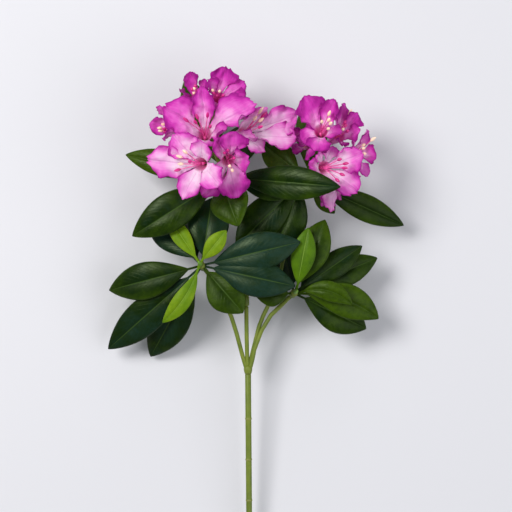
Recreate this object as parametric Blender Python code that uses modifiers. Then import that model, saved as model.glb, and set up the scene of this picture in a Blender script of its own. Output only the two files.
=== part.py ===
"""Artificial rhododendron spray: one moulded stem that forks into four arms, which carry two
flower heads, each with a collar of leaves, and two leafy whorls. It lies on its back.

Lengths in the tables are in millimetres. +Z is up, +Y runs along the stem towards the flowers,
and the origin is on the surface, under the middle of the spray.
"""

import math
import random
from dataclasses import dataclass

import bmesh
import bpy
from mathutils import Matrix, Vector

MM = 0.001

# The photo looks straight down on the spray, from a point this high over EYE, and 1 mm at
# SCALE_HEIGHT is one of its pixels
EYE_HEIGHT = 3060.0
SCALE_HEIGHT = 60.0
EYE = (1.0, 130.0)

# Stem and arms
STEM_RADIUS = 3.05
STEM_SIDES = 10
BORE_RADIUS = 1.65
WIRE_RADIUS = 1.3
FIT_GAP = 0.35
CUT_END = Vector((-4.6, -318.0, 2.95))
JUNCTION = Vector((-7.0, 11.0, 36.0))
FORK_PIN_LENGTH = 10.0
SCARS = 5
FIRST_SCAR_BELOW_FORK = 45.6
SCAR_SPACING = 41.7
SCAR_HALF_WIDTH = 1.2
SCAR_RISE = 0.45
ARM_RADIUS = 2.15
ARM_PIN_RADIUS = 1.5
ARM_PIN_LENGTH = 6.0
SLEEVE_RADIUS = 2.85
SLEEVE_SIDES = 8
SLEEVE_CAP = 4.5
HUB_RADIUS = 3.8
ARM_POINTS = 10
STALK_POINTS = 12
STALK_RADIUS = 1.9
COLLAR_RADIUS = 4.8
COLLAR_LENGTH = 5.0

# Leaf blades
LEAF_THICKNESS = 0.8
PETIOLE_WIDTH = 2.4
PETIOLE_SHARE = 0.10
LEAF_ROWS = 5
LEAF_COLUMNS = 4
MIDRIB_FOLD = 0.34
EDGE_DROOP = 0.42
PRESSED_FLAT = 0.15

# Florets
PETAL_THICKNESS = 0.7
TUBE_LENGTH = 14.0
TUBE_RADIUS = 2.3
THROAT_RADIUS = 6.6
LOBES = 5
LOBE_ROWS = 3
LOBE_COLUMNS = 4
WIDEST_AT = 0.60
START_SHARE = 0.8
LOBE_GAP = 0.9
EDGE_RISE = 2.4
CELL_REACH = 0.32
CELL_MARGIN = 0.9
CELL_SOFTNESS = 4.0
CELL_FLATNESS = 2.8
TURN_UP = 0.8
FLOOR_MARGIN = 2.0
STAMEN_MARGIN = 3.5
FILAMENT_RADIUS = 0.55
PLUG_RADIUS = 1.3
PEDICEL_RADIUS = 1.1
CALYX_RADIUS = 2.7


@dataclass
class Look:
    colour: tuple
    roughness: float
    metallic: float = 0.0


MOULDED_GREEN = Look((0.17, 0.27, 0.04), 0.5)
DARK_LEAF = Look((0.02, 0.09, 0.02), 0.35)
YOUNG_LEAF = Look((0.13, 0.33, 0.02), 0.4)
PETAL = Look((0.75, 0.25, 0.65), 0.6)
STAMEN = Look((0.85, 0.10, 0.40), 0.5)
STEEL = Look((0.45, 0.45, 0.45), 0.35, 1.0)


@dataclass
class Leaf:
    """A blade from its hub to its tip. arch lifts its middle off the chord, bend moves it sideways,
    and face is the way its upper side looks."""

    tip: tuple
    width: float
    arch: float = 8.0
    bend: float = 0.0
    face: tuple = (0.0, 0.0, 1.0)


@dataclass
class Floret:
    """A funnel of five lobes. throat is the middle of its mouth and axis the way that it opens.
    Each lobe has its tip and width, and each stamen its tip."""

    throat: Vector
    axis: Vector
    lobes: list
    stamens: list
    seed: int


def seen(x, y, z):
    """The place at height z that the photo shows at (x, y), whose scale is that of SCALE_HEIGHT."""
    share = (EYE_HEIGHT - z) / (EYE_HEIGHT - SCALE_HEIGHT)
    return Vector((EYE[0] + (x - EYE[0]) * share, EYE[1] + (y - EYE[1]) * share, z))


def floret(throat, axis, lobes, stamens, seed):
    """A floret placed from the photo. lobes are the (x, y, rise over the throat, width) of each
    lobe's tip, and stamens the (x, y, rise) of each stamen's tip."""
    return Floret(
        seen(*throat),
        Vector(axis).normalized(),
        [(seen(x, y, throat[2] + rise), width) for x, y, rise, width in lobes],
        [seen(x, y, throat[2] + rise) for x, y, rise in stamens],
        seed,
    )


def plain_floret(throat, axis, length, width, opening, seed):
    """A floret that the photo hides, with its lobes and stamens evenly round it."""
    made = floret(throat, axis, [], [], seed)
    side = made.axis.orthogonal().normalized()
    other = made.axis.cross(side)
    lean = math.radians(opening)
    for number in range(LOBES):
        turn = math.tau * (number + 0.25) / LOBES
        out = side * math.cos(turn) + other * math.sin(turn)
        along = made.axis * (length * math.cos(lean))
        made.lobes.append((made.throat + along + out * (length * math.sin(lean)), width))
        turn += math.pi / LOBES
        out = side * math.cos(turn) + other * math.sin(turn)
        made.stamens.append(made.throat + made.axis * (length * 0.5) + out * (length * 0.16))
    return made


@dataclass
class Head:
    """A flower head: the places its stalk runs through, its collar, the line that its florets grow
    from, its collar of leaves and its florets."""

    name: str
    knots: tuple
    collar: Vector
    rachis: tuple
    leaves: list
    florets: list


ARM_KNOTS = {
    "left": (
        (-10.6, 22, 37.5),
        (-18.5, 52, 41),
        (-27, 77, 44),
        (-41, 104, 45.5),
        (-50, 116, 50),
        (-53, 120, 59),
    ),
    "centre": ((-7.8, 24, 37.2), (-8.3, 45, 39.5), (-8.6, 65, 41.5), (-8.7, 85, 43.5)),
    "right": ((-4.6, 24, 36.2), (0.6, 45, 38), (5.4, 63, 39.5), (14, 82, 41), (22, 100, 42.5)),
    "low_right": (
        (-3.2, 22, 38),
        (-0.6, 36, 40),
        (11, 64, 42),
        (26, 80, 41),
        (35.5, 89.5, 43),
        (38.7, 92.5, 51.5),
    ),
}

LEFT_WHORL = [
    Leaf(tip=(-146.6, 95.5, 38), width=37, arch=9),
    Leaf(tip=(-148.5, 36, 20), width=36, arch=8),
    Leaf(tip=(-106, 28, 9), width=40, arch=6),
    Leaf(tip=(-12, 73.4, 70), width=38, arch=7),
    Leaf(tip=(40, 100, 76), width=38, arch=10),
    Leaf(tip=(45, 144, 78), width=38, arch=10),
    Leaf(tip=(-43, 188, 48), width=42, arch=6),
    Leaf(tip=(-107, 174, 32), width=34, arch=4),
    Leaf(tip=(-84, 168, 10), width=36, arch=4),
]
LEFT_SHOOT = [
    Leaf(tip=(-92.4, 63.6, 62), width=18, arch=8, bend=5),
    Leaf(tip=(-28.6, 155.4, 76), width=18, arch=4),
    Leaf(tip=(-87, 169, 57), width=18, arch=3),
]

RIGHT_WHORL = [
    Leaf(tip=(70, 166, 60), width=34, arch=8),
    Leaf(tip=(107.4, 140, 44), width=26, arch=7),
    Leaf(tip=(123, 128, 36), width=30, arch=5),
    Leaf(tip=(97, 81.4, 64), width=20, arch=6, bend=9),
    Leaf(tip=(124, 67, 42), width=34, arch=7, bend=8),
    Leaf(tip=(112, 56.7, 30), width=36, arch=6),
    Leaf(tip=(0.6, 90.6, 62), width=24, arch=8),
    Leaf(tip=(26, 150, 14), width=34, arch=-3),
    Leaf(tip=(84, 126, 8), width=36, arch=4),
]
RIGHT_SHOOT = [
    Leaf(tip=(53, 158, 72), width=24, arch=6),
]

LEFT_HEAD = Head(
    name="left",
    knots=((-4.0, 108, 45.5), (-8, 146, 47), (-20, 184, 51)),
    collar=Vector((-30.0, 209.0, 56.0)),
    rachis=(Vector((-34, 218, 61)), Vector((-44, 246, 76))),
    leaves=[
        Leaf(tip=(-71, 311, -20), width=38, arch=4),
        Leaf(tip=(-130, 232, 38), width=27, arch=6),
        Leaf(tip=(-122.5, 150, 60), width=38, arch=14),
        Leaf(tip=(-16.3, 159.5, 96), width=40, arch=12, face=(0, -0.4, 0.9)),
        Leaf(tip=(84, 198, 110), width=34, arch=10),
        Leaf(tip=(45, 196, 76), width=32, arch=5),
        Leaf(tip=(-6, 264, 12), width=34, arch=0),
    ],
    florets=[
        floret(
            (-54, 222, 118),
            (-0.30, -0.12, 0.94),
            [
                (-109, 227, -4, 30), (-82, 252, 8, 26), (-72.5, 186.5, 0, 20),
                (-34, 200, 20, 22), (-53, 246, 20, 20),
            ],
            [
                (-72.5, 236, 15), (-79, 230.5, 12), (-77.5, 222, 13),
                (-67, 224.5, 19), (-81, 215, 10),
            ],
            seed=1,
        ),
        floret(
            (-27, 226, 98),
            (0.10, -0.25, 0.95),
            [
                (-22, 256, 22, 30), (-6, 229, 22, 26), (-19, 187, 6, 28),
                (-53, 188, -4, 20), (-40, 249, 18, 15),
            ],
            [(-31, 234, 19), (-27, 237, 20), (-20, 228, 21), (-25, 219, 20), (-22, 214, 19)],
            seed=2,
        ),
        floret(
            (-50, 251, 88),
            (0.02, 0.42, 0.9),
            [
                (-92, 281, 10, 34), (2, 283.5, 13, 33), (-53, 301, 11, 20),
                (-27, 258, 18, 20), (-49, 238, 17, 20),
            ],
            [(-72, 268.5, 18), (-61, 266, 22), (-59, 272, 18), (-47, 274, 20), (-44, 261, 23)],
            seed=3,
        ),
        floret(
            (-36, 288, 74),
            (0.35, 0.40, 0.85),
            [
                (-29.5, 320, 5, 25), (-9, 303, 0, 20), (-9, 288, 16, 24),
                (-33, 274, 13, 22), (-47, 307, 12, 16),
            ],
            [(-43, 297, 16), (-42, 294, 17), (-38, 291, 16), (-35, 296, 16), (-31, 291, 16)],
            seed=4,
        ),
        floret(
            (-58, 289, 60),
            (-0.5, 0.5, 0.7),
            [
                (-63, 315, 6, 24), (-72, 293, 14, 24), (-49, 307, 2, 16),
                (-49, 290, 12, 14), (-62, 280, 14, 16),
            ],
            [(-60, 302, 11), (-64, 298, 12), (-61, 299, 13), (-57, 297, 10), (-62, 294, 12)],
            seed=5,
        ),
        floret(
            (-78, 258, 66),
            (-0.9, 0.0, 0.42),
            [
                (-106, 262, -6, 16), (-97, 281, 4, 18), (-91, 247, 14, 16),
                (-82, 234, 0, 16), (-84, 282, 12, 14),
            ],
            [(-98, 258, 6), (-94, 262, 8), (-92, 254, 10), (-93, 257, 12), (-97, 255, 3)],
            seed=6,
        ),
        floret(
            (-12, 252, 70),
            (0.65, 0.1, 0.75),
            [
                (45, 273, 5, 31), (43, 247, 5, 30), (0, 249, 22, 16),
                (12, 279, 6, 18), (10, 234, 0, 18),
            ],
            [(8.5, 279, 18), (9, 268, 18), (8, 260, 22), (2, 270, 16), (12, 274, 12)],
            seed=7,
        ),
        plain_floret((-24, 270, 52), (0.6, 0.75, -0.1), 27, 17, 46, 8),
    ],
)

RIGHT_HEAD = Head(
    name="right",
    knots=((32, 141, 45), (43, 178, 48.5)),
    collar=Vector((52.0, 206.0, 54.0)),
    rachis=(Vector((55, 215, 53.5)), Vector((70, 237, 53))),
    leaves=[
        Leaf(tip=(62.5, 293, -20), width=34, arch=4),
        Leaf(tip=(150, 161, 30), width=27, arch=4),
        Leaf(tip=(7, 244, 28), width=30, arch=4),
        Leaf(tip=(80, 173, 38), width=18, arch=2),
        Leaf(tip=(-19, 140, 56), width=40, arch=4),
        Leaf(tip=(21, 138, 53), width=40, arch=3),
    ],
    florets=[
        floret(
            (69, 218.5, 88),
            (0.45, 0.02, 0.89),
            [
                (104, 194, 2, 27), (108, 234, 6, 26), (78, 241, 7.5, 20),
                (54, 222, 16, 14), (62, 236, 12, 16),
            ],
            [(87, 228, 16), (94, 223, 18), (93, 218, 20), (90, 210.5, 18), (84.5, 204, 14)],
            seed=11,
        ),
        floret(
            (66, 254, 96),
            (0.0, 0.35, 0.92),
            [
                (50, 291, 6, 28), (80, 288, 8, 16), (87, 254, 12, 16),
                (62, 234, 14, 22), (46, 244, 6, 20),
            ],
            [(75.5, 275.5, 16), (67, 266, 22), (75, 268, 22), (77, 264, 24), (74.5, 258, 26)],
            seed=12,
        ),
        floret(
            (83, 250, 80),
            (0.55, 0.45, 0.7),
            [
                (103, 273, 3, 27), (89, 283, -2, 16), (106, 256, 6, 19),
                (89, 240, 8, 16), (70, 270, 12, 14),
            ],
            [(97, 277, 4), (92, 262, 13), (91, 266, 13), (89, 258, 14), (94, 256, 13)],
            seed=13,
        ),
        floret(
            (99, 232, 68),
            (0.75, 0.0, 0.65),
            [
                (112, 257, 6, 20), (122, 229, 4, 23), (113, 209, -2, 17),
                (97, 249, 9, 15), (95, 216, 11, 16),
            ],
            [(110, 243, 11), (110, 239, 12), (111, 233, 14), (107, 227, 14), (121, 249, 8)],
            seed=14,
        ),
        floret(
            (74, 199, 66),
            (0.05, -0.95, 0.25),
            [
                (78, 175, 11, 24), (66, 180, 6, 17), (68, 187, -7, 12),
                (81, 187, -7, 12), (86, 186, 2, 13),
            ],
            [(75, 189, 3), (73, 188, 2), (74, 187, 0), (76, 189, 0), (73, 190, -1)],
            seed=15,
        ),
        floret(
            (54, 243, 50),
            (-0.80, 0.1, 0.55),
            [
                (36, 258, 4, 20), (37, 234, 2, 20), (42, 247, 18, 16),
                (54, 264, 10, 14), (54, 226, 10, 14),
            ],
            [(46, 250, 10), (45, 246, 8), (46, 242, 10), (48, 254, 6), (48, 239, 4)],
            seed=16,
        ),
        plain_floret((85, 254, 46), (0.5, 0.6, 0.4), 18, 14, 48, 17),
    ],
)


def clear_scene():
    for obj in list(bpy.data.objects):
        bpy.data.objects.remove(obj)


def material(name, look):
    made = bpy.data.materials.new(name)
    made.use_nodes = True
    shader = made.node_tree.nodes["Principled BSDF"]
    shader.inputs["Base Color"].default_value = (*look.colour, 1.0)
    shader.inputs["Roughness"].default_value = look.roughness
    shader.inputs["Metallic"].default_value = look.metallic
    made.diffuse_color = (*look.colour, 1.0)
    return made


def collection(name):
    made = bpy.data.collections.new(name)
    bpy.context.scene.collection.children.link(made)
    return made


def mesh_object(name, mesh, group):
    made = bpy.data.objects.new(name, mesh)
    group.objects.link(made)
    return made


def realised(obj, group):
    """The object as a plain mesh in world space, with its modifiers applied and the original removed."""
    name = obj.name
    bpy.context.view_layer.update()
    graph = bpy.context.evaluated_depsgraph_get()
    mesh = bpy.data.meshes.new_from_object(obj.evaluated_get(graph))
    mesh.transform(obj.matrix_world)
    bpy.data.objects.remove(obj)
    return mesh_object(name, mesh, group)


def welded(obj, distance=1e-6):
    """The same object with its loose seams joined."""
    work = bmesh.new()
    work.from_mesh(obj.data)
    bmesh.ops.remove_doubles(work, verts=work.verts, dist=distance)
    work.to_mesh(obj.data)
    work.free()
    return obj


def tube(name, points, radii, sides, group):
    """A round bar through points, with a radius at each and an even number of sides from 4 up."""
    curve = bpy.data.curves.new(name, "CURVE")
    curve.dimensions = "3D"
    curve.bevel_depth = max(radii) * MM
    curve.bevel_resolution = (sides - 4) // 2
    curve.use_fill_caps = True
    spline = curve.splines.new("POLY")
    spline.points.add(len(points) - 1)
    for knot, place, radius in zip(spline.points, points, radii):
        knot.co = (*(Vector(place) * MM), 1.0)
        knot.radius = radius / max(radii)
    return welded(realised(mesh_object(name, curve, group), group))


def smooth_route(knots, count):
    """Points on a Catmull-Rom curve through the knots, evenly spread between them."""
    ends = [knots[0] * 2 - knots[1], *knots, knots[-1] * 2 - knots[-2]]
    route = []
    spans = len(knots) - 1
    for step in range(count):
        place = step / (count - 1) * spans
        span = min(int(place), spans - 1)
        t = place - span
        a, b, c, d = ends[span : span + 4]
        route.append(
            0.5 * (2 * b + (c - a) * t + (2 * a - 5 * b + 4 * c - d) * t**2 + (3 * b - a - 3 * c + d) * t**3)
        )
    return route


def turned(name, profile, place, direction, sides, group):
    """A solid turned about direction from (radius, height) points that run down its outer side."""
    mesh = bpy.data.meshes.new(name)
    edges = [(i, i + 1) for i in range(len(profile) - 1)]
    if profile[0][0] > 0:
        edges.append((len(profile) - 1, 0))
    mesh.from_pydata([(r * MM, 0.0, h * MM) for r, h in profile], edges, [])
    made = mesh_object(name, mesh, group)
    screw = made.modifiers.new("turn", "SCREW")
    screw.steps = screw.render_steps = sides
    screw.use_merge_vertices = True
    screw.merge_threshold = 1e-6
    screw.use_normal_calculate = True
    facing = direction.to_track_quat("Z", "Y").to_matrix().to_4x4()
    made.matrix_world = Matrix.Translation(place * MM) @ facing
    return realised(made, group)


def fused(name, pieces, group, look):
    """One solid from several, by a Boolean union of the first with the others."""
    first, others = pieces[0], pieces[1:]
    if others:
        gathered = collection(name + "_pieces")
        for piece in others:
            gathered.objects.link(piece)
        union = first.modifiers.new("fuse", "BOOLEAN")
        union.operation = "UNION"
        union.solver = "EXACT"
        union.operand_type = "COLLECTION"
        union.collection = gathered
        first = realised(first, group)
        for piece in others:
            bpy.data.objects.remove(piece)
        bpy.data.collections.remove(gathered)
    first.name = name
    finish(first, look)
    return first


def finish(obj, look):
    obj.data.materials.clear()
    obj.data.materials.append(material(obj.name, look))
    obj.data.shade_smooth()
    obj.data.set_sharp_from_angle(angle=math.radians(50))


def sheet(name, columns, rows, place, thickness, group):
    """A blade: a grid whose points place(u, v) sets, with u from 0 to 1 along it and v from -1 to 1
    across, split into triangles and then thickened evenly about its middle."""
    work = bmesh.new()
    bmesh.ops.create_grid(work, x_segments=columns, y_segments=rows, size=1.0)
    for vert in work.verts:
        vert.co = place((vert.co.y + 1) / 2, vert.co.x) * MM
    return thickened(name, work, thickness, group)


def thickened(name, work, thickness, group):
    bmesh.ops.triangulate(work, faces=work.faces)
    bmesh.ops.recalc_face_normals(work, faces=work.faces)
    mesh = bpy.data.meshes.new(name)
    work.to_mesh(mesh)
    work.free()
    made = mesh_object(name, mesh, group)
    solidify = made.modifiers.new("thickness", "SOLIDIFY")
    solidify.thickness = thickness * MM
    solidify.offset = 0.0
    return realised(made, group)


def leaf_outline(q):
    """Half the width of a blade at q along it, as a share of its widest."""
    return max(math.sin(math.pi * min(q, 1.0) ** 1.13), 0.0) ** 0.80


def leaf_place(leaf, root):
    """The function that gives a point of the blade's middle surface."""
    tip = Vector(leaf.tip)
    chord = tip - root
    along = chord.normalized()
    face = Vector(leaf.face)
    up = (face - along * face.dot(along)).normalized()
    side = up.cross(along)
    half_width = leaf.width / 2

    def place(u, v):
        rise = 4 * u * (1 - u)
        spine = root + chord * u + up * (leaf.arch * rise) + side * (leaf.bend * rise)
        slope = 4 * (1 - 2 * u)
        tangent = (chord + up * (leaf.arch * slope) + side * (leaf.bend * slope)).normalized()
        across = up.cross(tangent).normalized()
        normal = tangent.cross(across)
        q = (u - PETIOLE_SHARE) / (1 - PETIOLE_SHARE)
        blade = half_width * leaf_outline(q) if q > 0 else 0.0
        reach = max(blade, PETIOLE_WIDTH / 2 * (1 - 0.7 * u))
        fold = blade * (MIDRIB_FOLD * abs(v) - EDGE_DROOP * v * v)
        point = spine + across * (reach * v) + normal * fold
        point.z = max(point.z, LEAF_THICKNESS / 2)
        return point

    return place


def leaf_blade(name, leaf, hub, hub_axis, hub_radius, group):
    """A leaf whose stalk starts inside the hub's wall, on the side that faces its tip."""
    outward = Vector(leaf.tip) - hub
    height = outward.dot(hub_axis)
    outward -= hub_axis * height
    root = hub + hub_axis * max(min(height / 12, 2.0), -2.0) + outward.normalized() * (hub_radius - 0.8)
    made = sheet(name, LEAF_COLUMNS, LEAF_ROWS, leaf_place(leaf, root), LEAF_THICKNESS, group)
    for vert in made.data.vertices:
        if vert.co.z < PRESSED_FLAT * MM:
            vert.co.z = 0.0
    return made


def leafy(name, hub_solid, leaves, hub, hub_axis, hub_radius, group, look):
    """Leaves fused to the hub that they grow from."""
    blades = [
        leaf_blade(f"{name}_{number}", leaf, hub, hub_axis, hub_radius, group)
        for number, leaf in enumerate(leaves)
    ]
    return fused(name, [hub_solid, *blades], group, look)


def capped_sleeve(outer, bore, depth):
    """Down the outer side of a sleeve with a closed top, then up its bore."""
    return [
        (0.0, SLEEVE_CAP),
        (outer * 0.8, SLEEVE_CAP),
        (outer, SLEEVE_CAP - 1.0),
        (outer, -depth),
        (bore, -depth),
        (bore, 0.0),
        (0.0, 0.0),
    ]


def open_sleeve(outer, bore, length):
    return [(outer * 0.85, 0.0), (outer, -1.0), (outer, -length), (bore, -length), (bore, 0.0)]


def arm_profile(route):
    """The route of an arm and its radii, with a thinner pin at its end."""
    end = route[-1]
    back = (route[-2] - end).normalized()
    shoulder = end + back * ARM_PIN_LENGTH
    kept = [p for p in route if (p - end).length > ARM_PIN_LENGTH + 2.0]
    points = [*kept, shoulder, shoulder - back * 0.2, end]
    radii = [ARM_RADIUS] * (len(kept) + 1) + [ARM_PIN_RADIUS] * 2
    return points, radii


def build_stem(group):
    axis = (JUNCTION - CUT_END).normalized()
    length = (JUNCTION - CUT_END).length
    profile = [(STEM_RADIUS, 0.0)]
    for number in range(SCARS):
        height = -(FIRST_SCAR_BELOW_FORK + SCAR_SPACING * number)
        profile += [
            (STEM_RADIUS, height + SCAR_HALF_WIDTH),
            (STEM_RADIUS + SCAR_RISE, height),
            (STEM_RADIUS, height - SCAR_HALF_WIDTH),
        ]
    profile += [(STEM_RADIUS, -length), (BORE_RADIUS, -length), (BORE_RADIUS, 0.0)]
    finish(turned("main_stem", profile, JUNCTION, axis, STEM_SIDES, group), MOULDED_GREEN)
    wire_top = JUNCTION - axis * (FORK_PIN_LENGTH + 2 * FIT_GAP)
    wire = tube("main_wire", [CUT_END + axis * 0.1, wire_top], [WIRE_RADIUS] * 2, 8, group)
    finish(wire, STEEL)


def arm_routes():
    """The centre line of each arm of the fork, from the junction to the tip of its pin."""
    start = JUNCTION + Vector((0.0, 3.0, 0.3))
    routes = {}
    for arm, places in ARM_KNOTS.items():
        routes[arm] = smooth_route([start, *map(Vector, places)], ARM_POINTS)
    return routes


def build_fork(routes, group):
    axis = (JUNCTION - CUT_END).normalized()
    profile = [
        (0.0, 9.0),
        (3.4, 8.0),
        (4.4, 5.0),
        (STEM_RADIUS + 0.3, 0.0),
        (WIRE_RADIUS, 0.0),
        (WIRE_RADIUS, -FORK_PIN_LENGTH),
        (0.0, -FORK_PIN_LENGTH),
    ]
    base = turned("fork_base", profile, JUNCTION + axis * FIT_GAP, axis, STEM_SIDES, group)
    arms = []
    for arm, route in routes.items():
        points, radii = arm_profile(route)
        arms.append(tube("arm_" + arm, points, radii, 6, group))
    fused("fork", [base, *arms], group, MOULDED_GREEN)


def end_of(route):
    """The tip of an arm and the way that it points."""
    return route[-1], (route[-1] - route[-2]).normalized()


def socket_on(name, route, outer, group):
    """A sleeve that slips over the pin at an arm's end, with the middle of its top and its direction."""
    tip, direction = end_of(route)
    profile = capped_sleeve(outer, ARM_PIN_RADIUS + FIT_GAP, ARM_PIN_LENGTH - 2 * FIT_GAP)
    sleeve = turned(name, profile, tip + direction * FIT_GAP, direction, SLEEVE_SIDES, group)
    return sleeve, tip + direction * (FIT_GAP + SLEEVE_CAP), direction


def smooth_least(a, b, blend):
    """The smaller of two numbers, rounded where they cross."""
    h = max(blend - abs(a - b), 0.0) / blend
    return min(a, b) - h * h * blend / 4


def lobe_width(q):
    """Half the width of a lobe at q along it, as a share of its widest."""
    if q < WIDEST_AT:
        return 0.45 + 0.55 * math.sin(math.pi / 2 * q / WIDEST_AT)
    fall = max(math.cos(math.pi / 2 * (q - WIDEST_AT) / (1 - WIDEST_AT)), 0.0)
    return 0.42 + 0.58 * fall**0.7


def curve_point(ends, t):
    """A point at t from 0 to 1 on the cubic curve with these four control points."""
    a, b, c, d = ends
    u = 1 - t
    return a * u**3 + b * (3 * u * u * t) + c * (3 * u * t * t) + d * t**3


def eased(t):
    t = min(max(t, 0.0), 1.0)
    return t * t * (3 - 2 * t)


class Lobe:
    """One petal lobe with its strip of the tube, in the floret's own axes. Its strip of the tube is
    at start_at and its tip at azimuth. room is how far it may reach to each side before it meets
    the next lobe, with start_room for its strip, and over is 1 or -1 for each side, as its edge is
    raised over the next lobe or lowered under it."""

    def __init__(self, even_start, azimuth, room, over, tip, width, rng):
        self.start_at = even_start + (azimuth - even_start) * START_SHARE
        sector = math.pi / LOBES
        self.start_room = tuple(sector + (side - sector) * START_SHARE for side in room)
        self.azimuth = azimuth
        self.room = room
        self.over = over
        self.half_width = width / 2 * rng.uniform(0.96, 1.06)
        self.waves = rng.uniform(1.3, 1.9)
        self.phase = rng.uniform(0, math.tau)
        self.wave_height = rng.uniform(0.08, 0.14) * self.half_width
        mouth = Vector((THROAT_RADIUS, TUBE_LENGTH))
        slope = Vector((THROAT_RADIUS - TUBE_RADIUS, TUBE_LENGTH)).normalized()
        chord = tip - mouth
        turned_out = math.atan2(chord.x, chord.y) + math.radians(rng.uniform(16, 30))
        outward = Vector((math.sin(turned_out), math.cos(turned_out)))
        self.ends = (
            mouth,
            mouth + slope * (0.36 * chord.length),
            tip - outward * (0.34 * chord.length),
            tip,
        )

    def point(self, s, v):
        """s runs from -1 at the tube's base through 0 at the throat to 1 at the tip, v from -1 to 1
        across."""
        start_room = self.start_room[v > 0]
        if s <= 0:
            r = THROAT_RADIUS + (THROAT_RADIUS - TUBE_RADIUS) * s
            angle = self.start_at + v * start_room
            return Vector((r * math.cos(angle), r * math.sin(angle), TUBE_LENGTH * (1 + s)))
        q = s * (1 - 0.20 * abs(v) ** 2.2 * s)
        (r, h), ahead = curve_point(self.ends, q), curve_point(self.ends, q + 0.01)
        lean = math.atan2(ahead.x - r, ahead.y - h)
        middle = self.start_at + (self.azimuth - self.start_at) * eased(q / 0.45)
        room = start_room + (self.room[v > 0] - start_room) * eased(q / 0.45)
        reach = smooth_least(self.half_width * lobe_width(q), math.tan(min(room, 1.2)) * r, 4.0)
        start = min(1.0, q / 0.22)
        reach = start * reach + (1 - start) * r * start_room
        curl = r + (55.0 - r) * min(1.0, q * 2.2)
        lateral = curl * math.sin(reach * v / curl)
        inward = curl * (1 - math.cos(reach * v / curl))
        side = 1.0 if v > 0 else -1.0
        wave = self.wave_height * min(1.0, q * 2) * abs(v) ** 1.6
        inward += wave * math.sin(math.tau * self.waves * q + self.phase * side)
        inward -= 1.1 * math.exp(-((v / 0.3) ** 2)) * math.sin(math.pi * min(q * 1.1, 1.0))
        inward += self.over[v > 0] * EDGE_RISE * v * v * min(1.0, q / 0.3)
        r -= inward * math.cos(lean)
        h += inward * math.sin(lean)
        reach = math.hypot(lateral, r)
        limit = room - LOBE_GAP / reach
        angle = middle + min(max(math.atan2(lateral, r), -limit), limit)
        return Vector((reach * math.cos(angle), reach * math.sin(angle), h))


class Corolla:
    """A floret's lobes, and the way from its own axes to its place in space."""

    def __init__(self, bloom):
        self.axis = bloom.axis
        self.side = self.axis.orthogonal().normalized()
        self.other = self.axis.cross(self.side)
        self.base = tube_base(bloom)
        rng = random.Random(bloom.seed)
        tips = sorted((*self.polar(tip), width) for tip, width in bloom.lobes)
        step = math.tau / LOBES
        first = sum(turn - step * n for n, (turn, r, h, width) in enumerate(tips)) / LOBES
        turns = [tip[0] for tip in tips]
        turns = [turns[-1] - math.tau, *turns, turns[0] + math.tau]
        leans = [math.atan2(r - THROAT_RADIUS, h - TUBE_LENGTH) for turn, r, h, width in tips]
        self.lobes = []
        for n, (turn, r, h, width) in enumerate(tips):
            room = ((turn - turns[n]) / 2, (turns[n + 2] - turn) / 2)
            before, after = leans[n - 1], leans[(n + 1) % LOBES]
            over = (1 if leans[n] < before else -1, 1 if leans[n] < after else -1)
            self.lobes.append(Lobe(first + step * n, turn, room, over, Vector((r, h)), width, rng))

    def polar(self, tip):
        """The turn, radius and height of a place, about the floret's axis."""
        away = tip - self.base
        across, up = away.dot(self.side), away.dot(self.other)
        return math.atan2(up, across), math.hypot(across, up), away.dot(self.axis)

    def placed(self, local):
        return self.base + self.side * local.x + self.other * local.y + self.axis * local.z


def tube_base(bloom):
    return bloom.throat - bloom.axis * TUBE_LENGTH


def cell_centre(bloom):
    reach = sum((tip - bloom.throat).length for tip, _ in bloom.lobes) / LOBES
    return bloom.throat + bloom.axis * (CELL_REACH * reach)


def softly_at_least(distance, least, softness):
    """distance where it is well over least, and never under least."""
    if distance >= least + softness:
        return distance
    return least + softness * math.exp((distance - least - softness) / softness)


def wall_between(own, other):
    """The plane between two florets' middles, turned so that one lies over the other where it can."""
    gap = own - other
    normal = Vector((gap.x, gap.y, gap.z * CELL_FLATNESS**2)).normalized()
    return (own + other) / 2, normal


def turned_off(point, place, normal, margin, axis, turn_up):
    """The point kept on its own side of a wall: what would cross it turns up along the axis."""
    distance = (point - place).dot(normal)
    push = softly_at_least(distance, margin, CELL_SOFTNESS) - distance
    upward = axis - normal * axis.dot(normal)
    return point + normal * push + upward * (push * turn_up)


def kept_in_cell(point, own, others, axis, margin, turn_up):
    """The point kept off the walls to the other florets, and off the surface below."""
    walls = [wall_between(own, other) for other in others]
    walls.append((Vector((0.0, 0.0, FLOOR_MARGIN)), Vector((0.0, 0.0, 1.0))))
    for turning in (turn_up, turn_up / 2, 0.0, 0.0):
        for place, normal in walls:
            point = turned_off(point, place, normal, margin, axis, turning)
    return point


def build_corolla(name, bloom, others, group):
    """Five lobes and their tube: one sheet, joined along the tube and free past the throat."""
    corolla = Corolla(bloom)
    own = cell_centre(bloom)
    work = bmesh.new()
    rows = 1 + LOBE_ROWS
    for lobe in corolla.lobes:
        made = bmesh.ops.create_grid(work, x_segments=LOBE_COLUMNS, y_segments=rows, size=1.0)
        for vert in made["verts"]:
            row = (vert.co.y + 1) / 2 * rows
            s = row - 1 if row < 1 else (row - 1) / LOBE_ROWS
            point = corolla.placed(lobe.point(s, vert.co.x))
            if s > 0:
                point = kept_in_cell(point, own, others, bloom.axis, CELL_MARGIN, TURN_UP)
            vert.co = point * MM
    bmesh.ops.remove_doubles(work, verts=work.verts, dist=2e-5)
    finish(thickened(name, work, PETAL_THICKNESS, group), PETAL)


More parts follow.
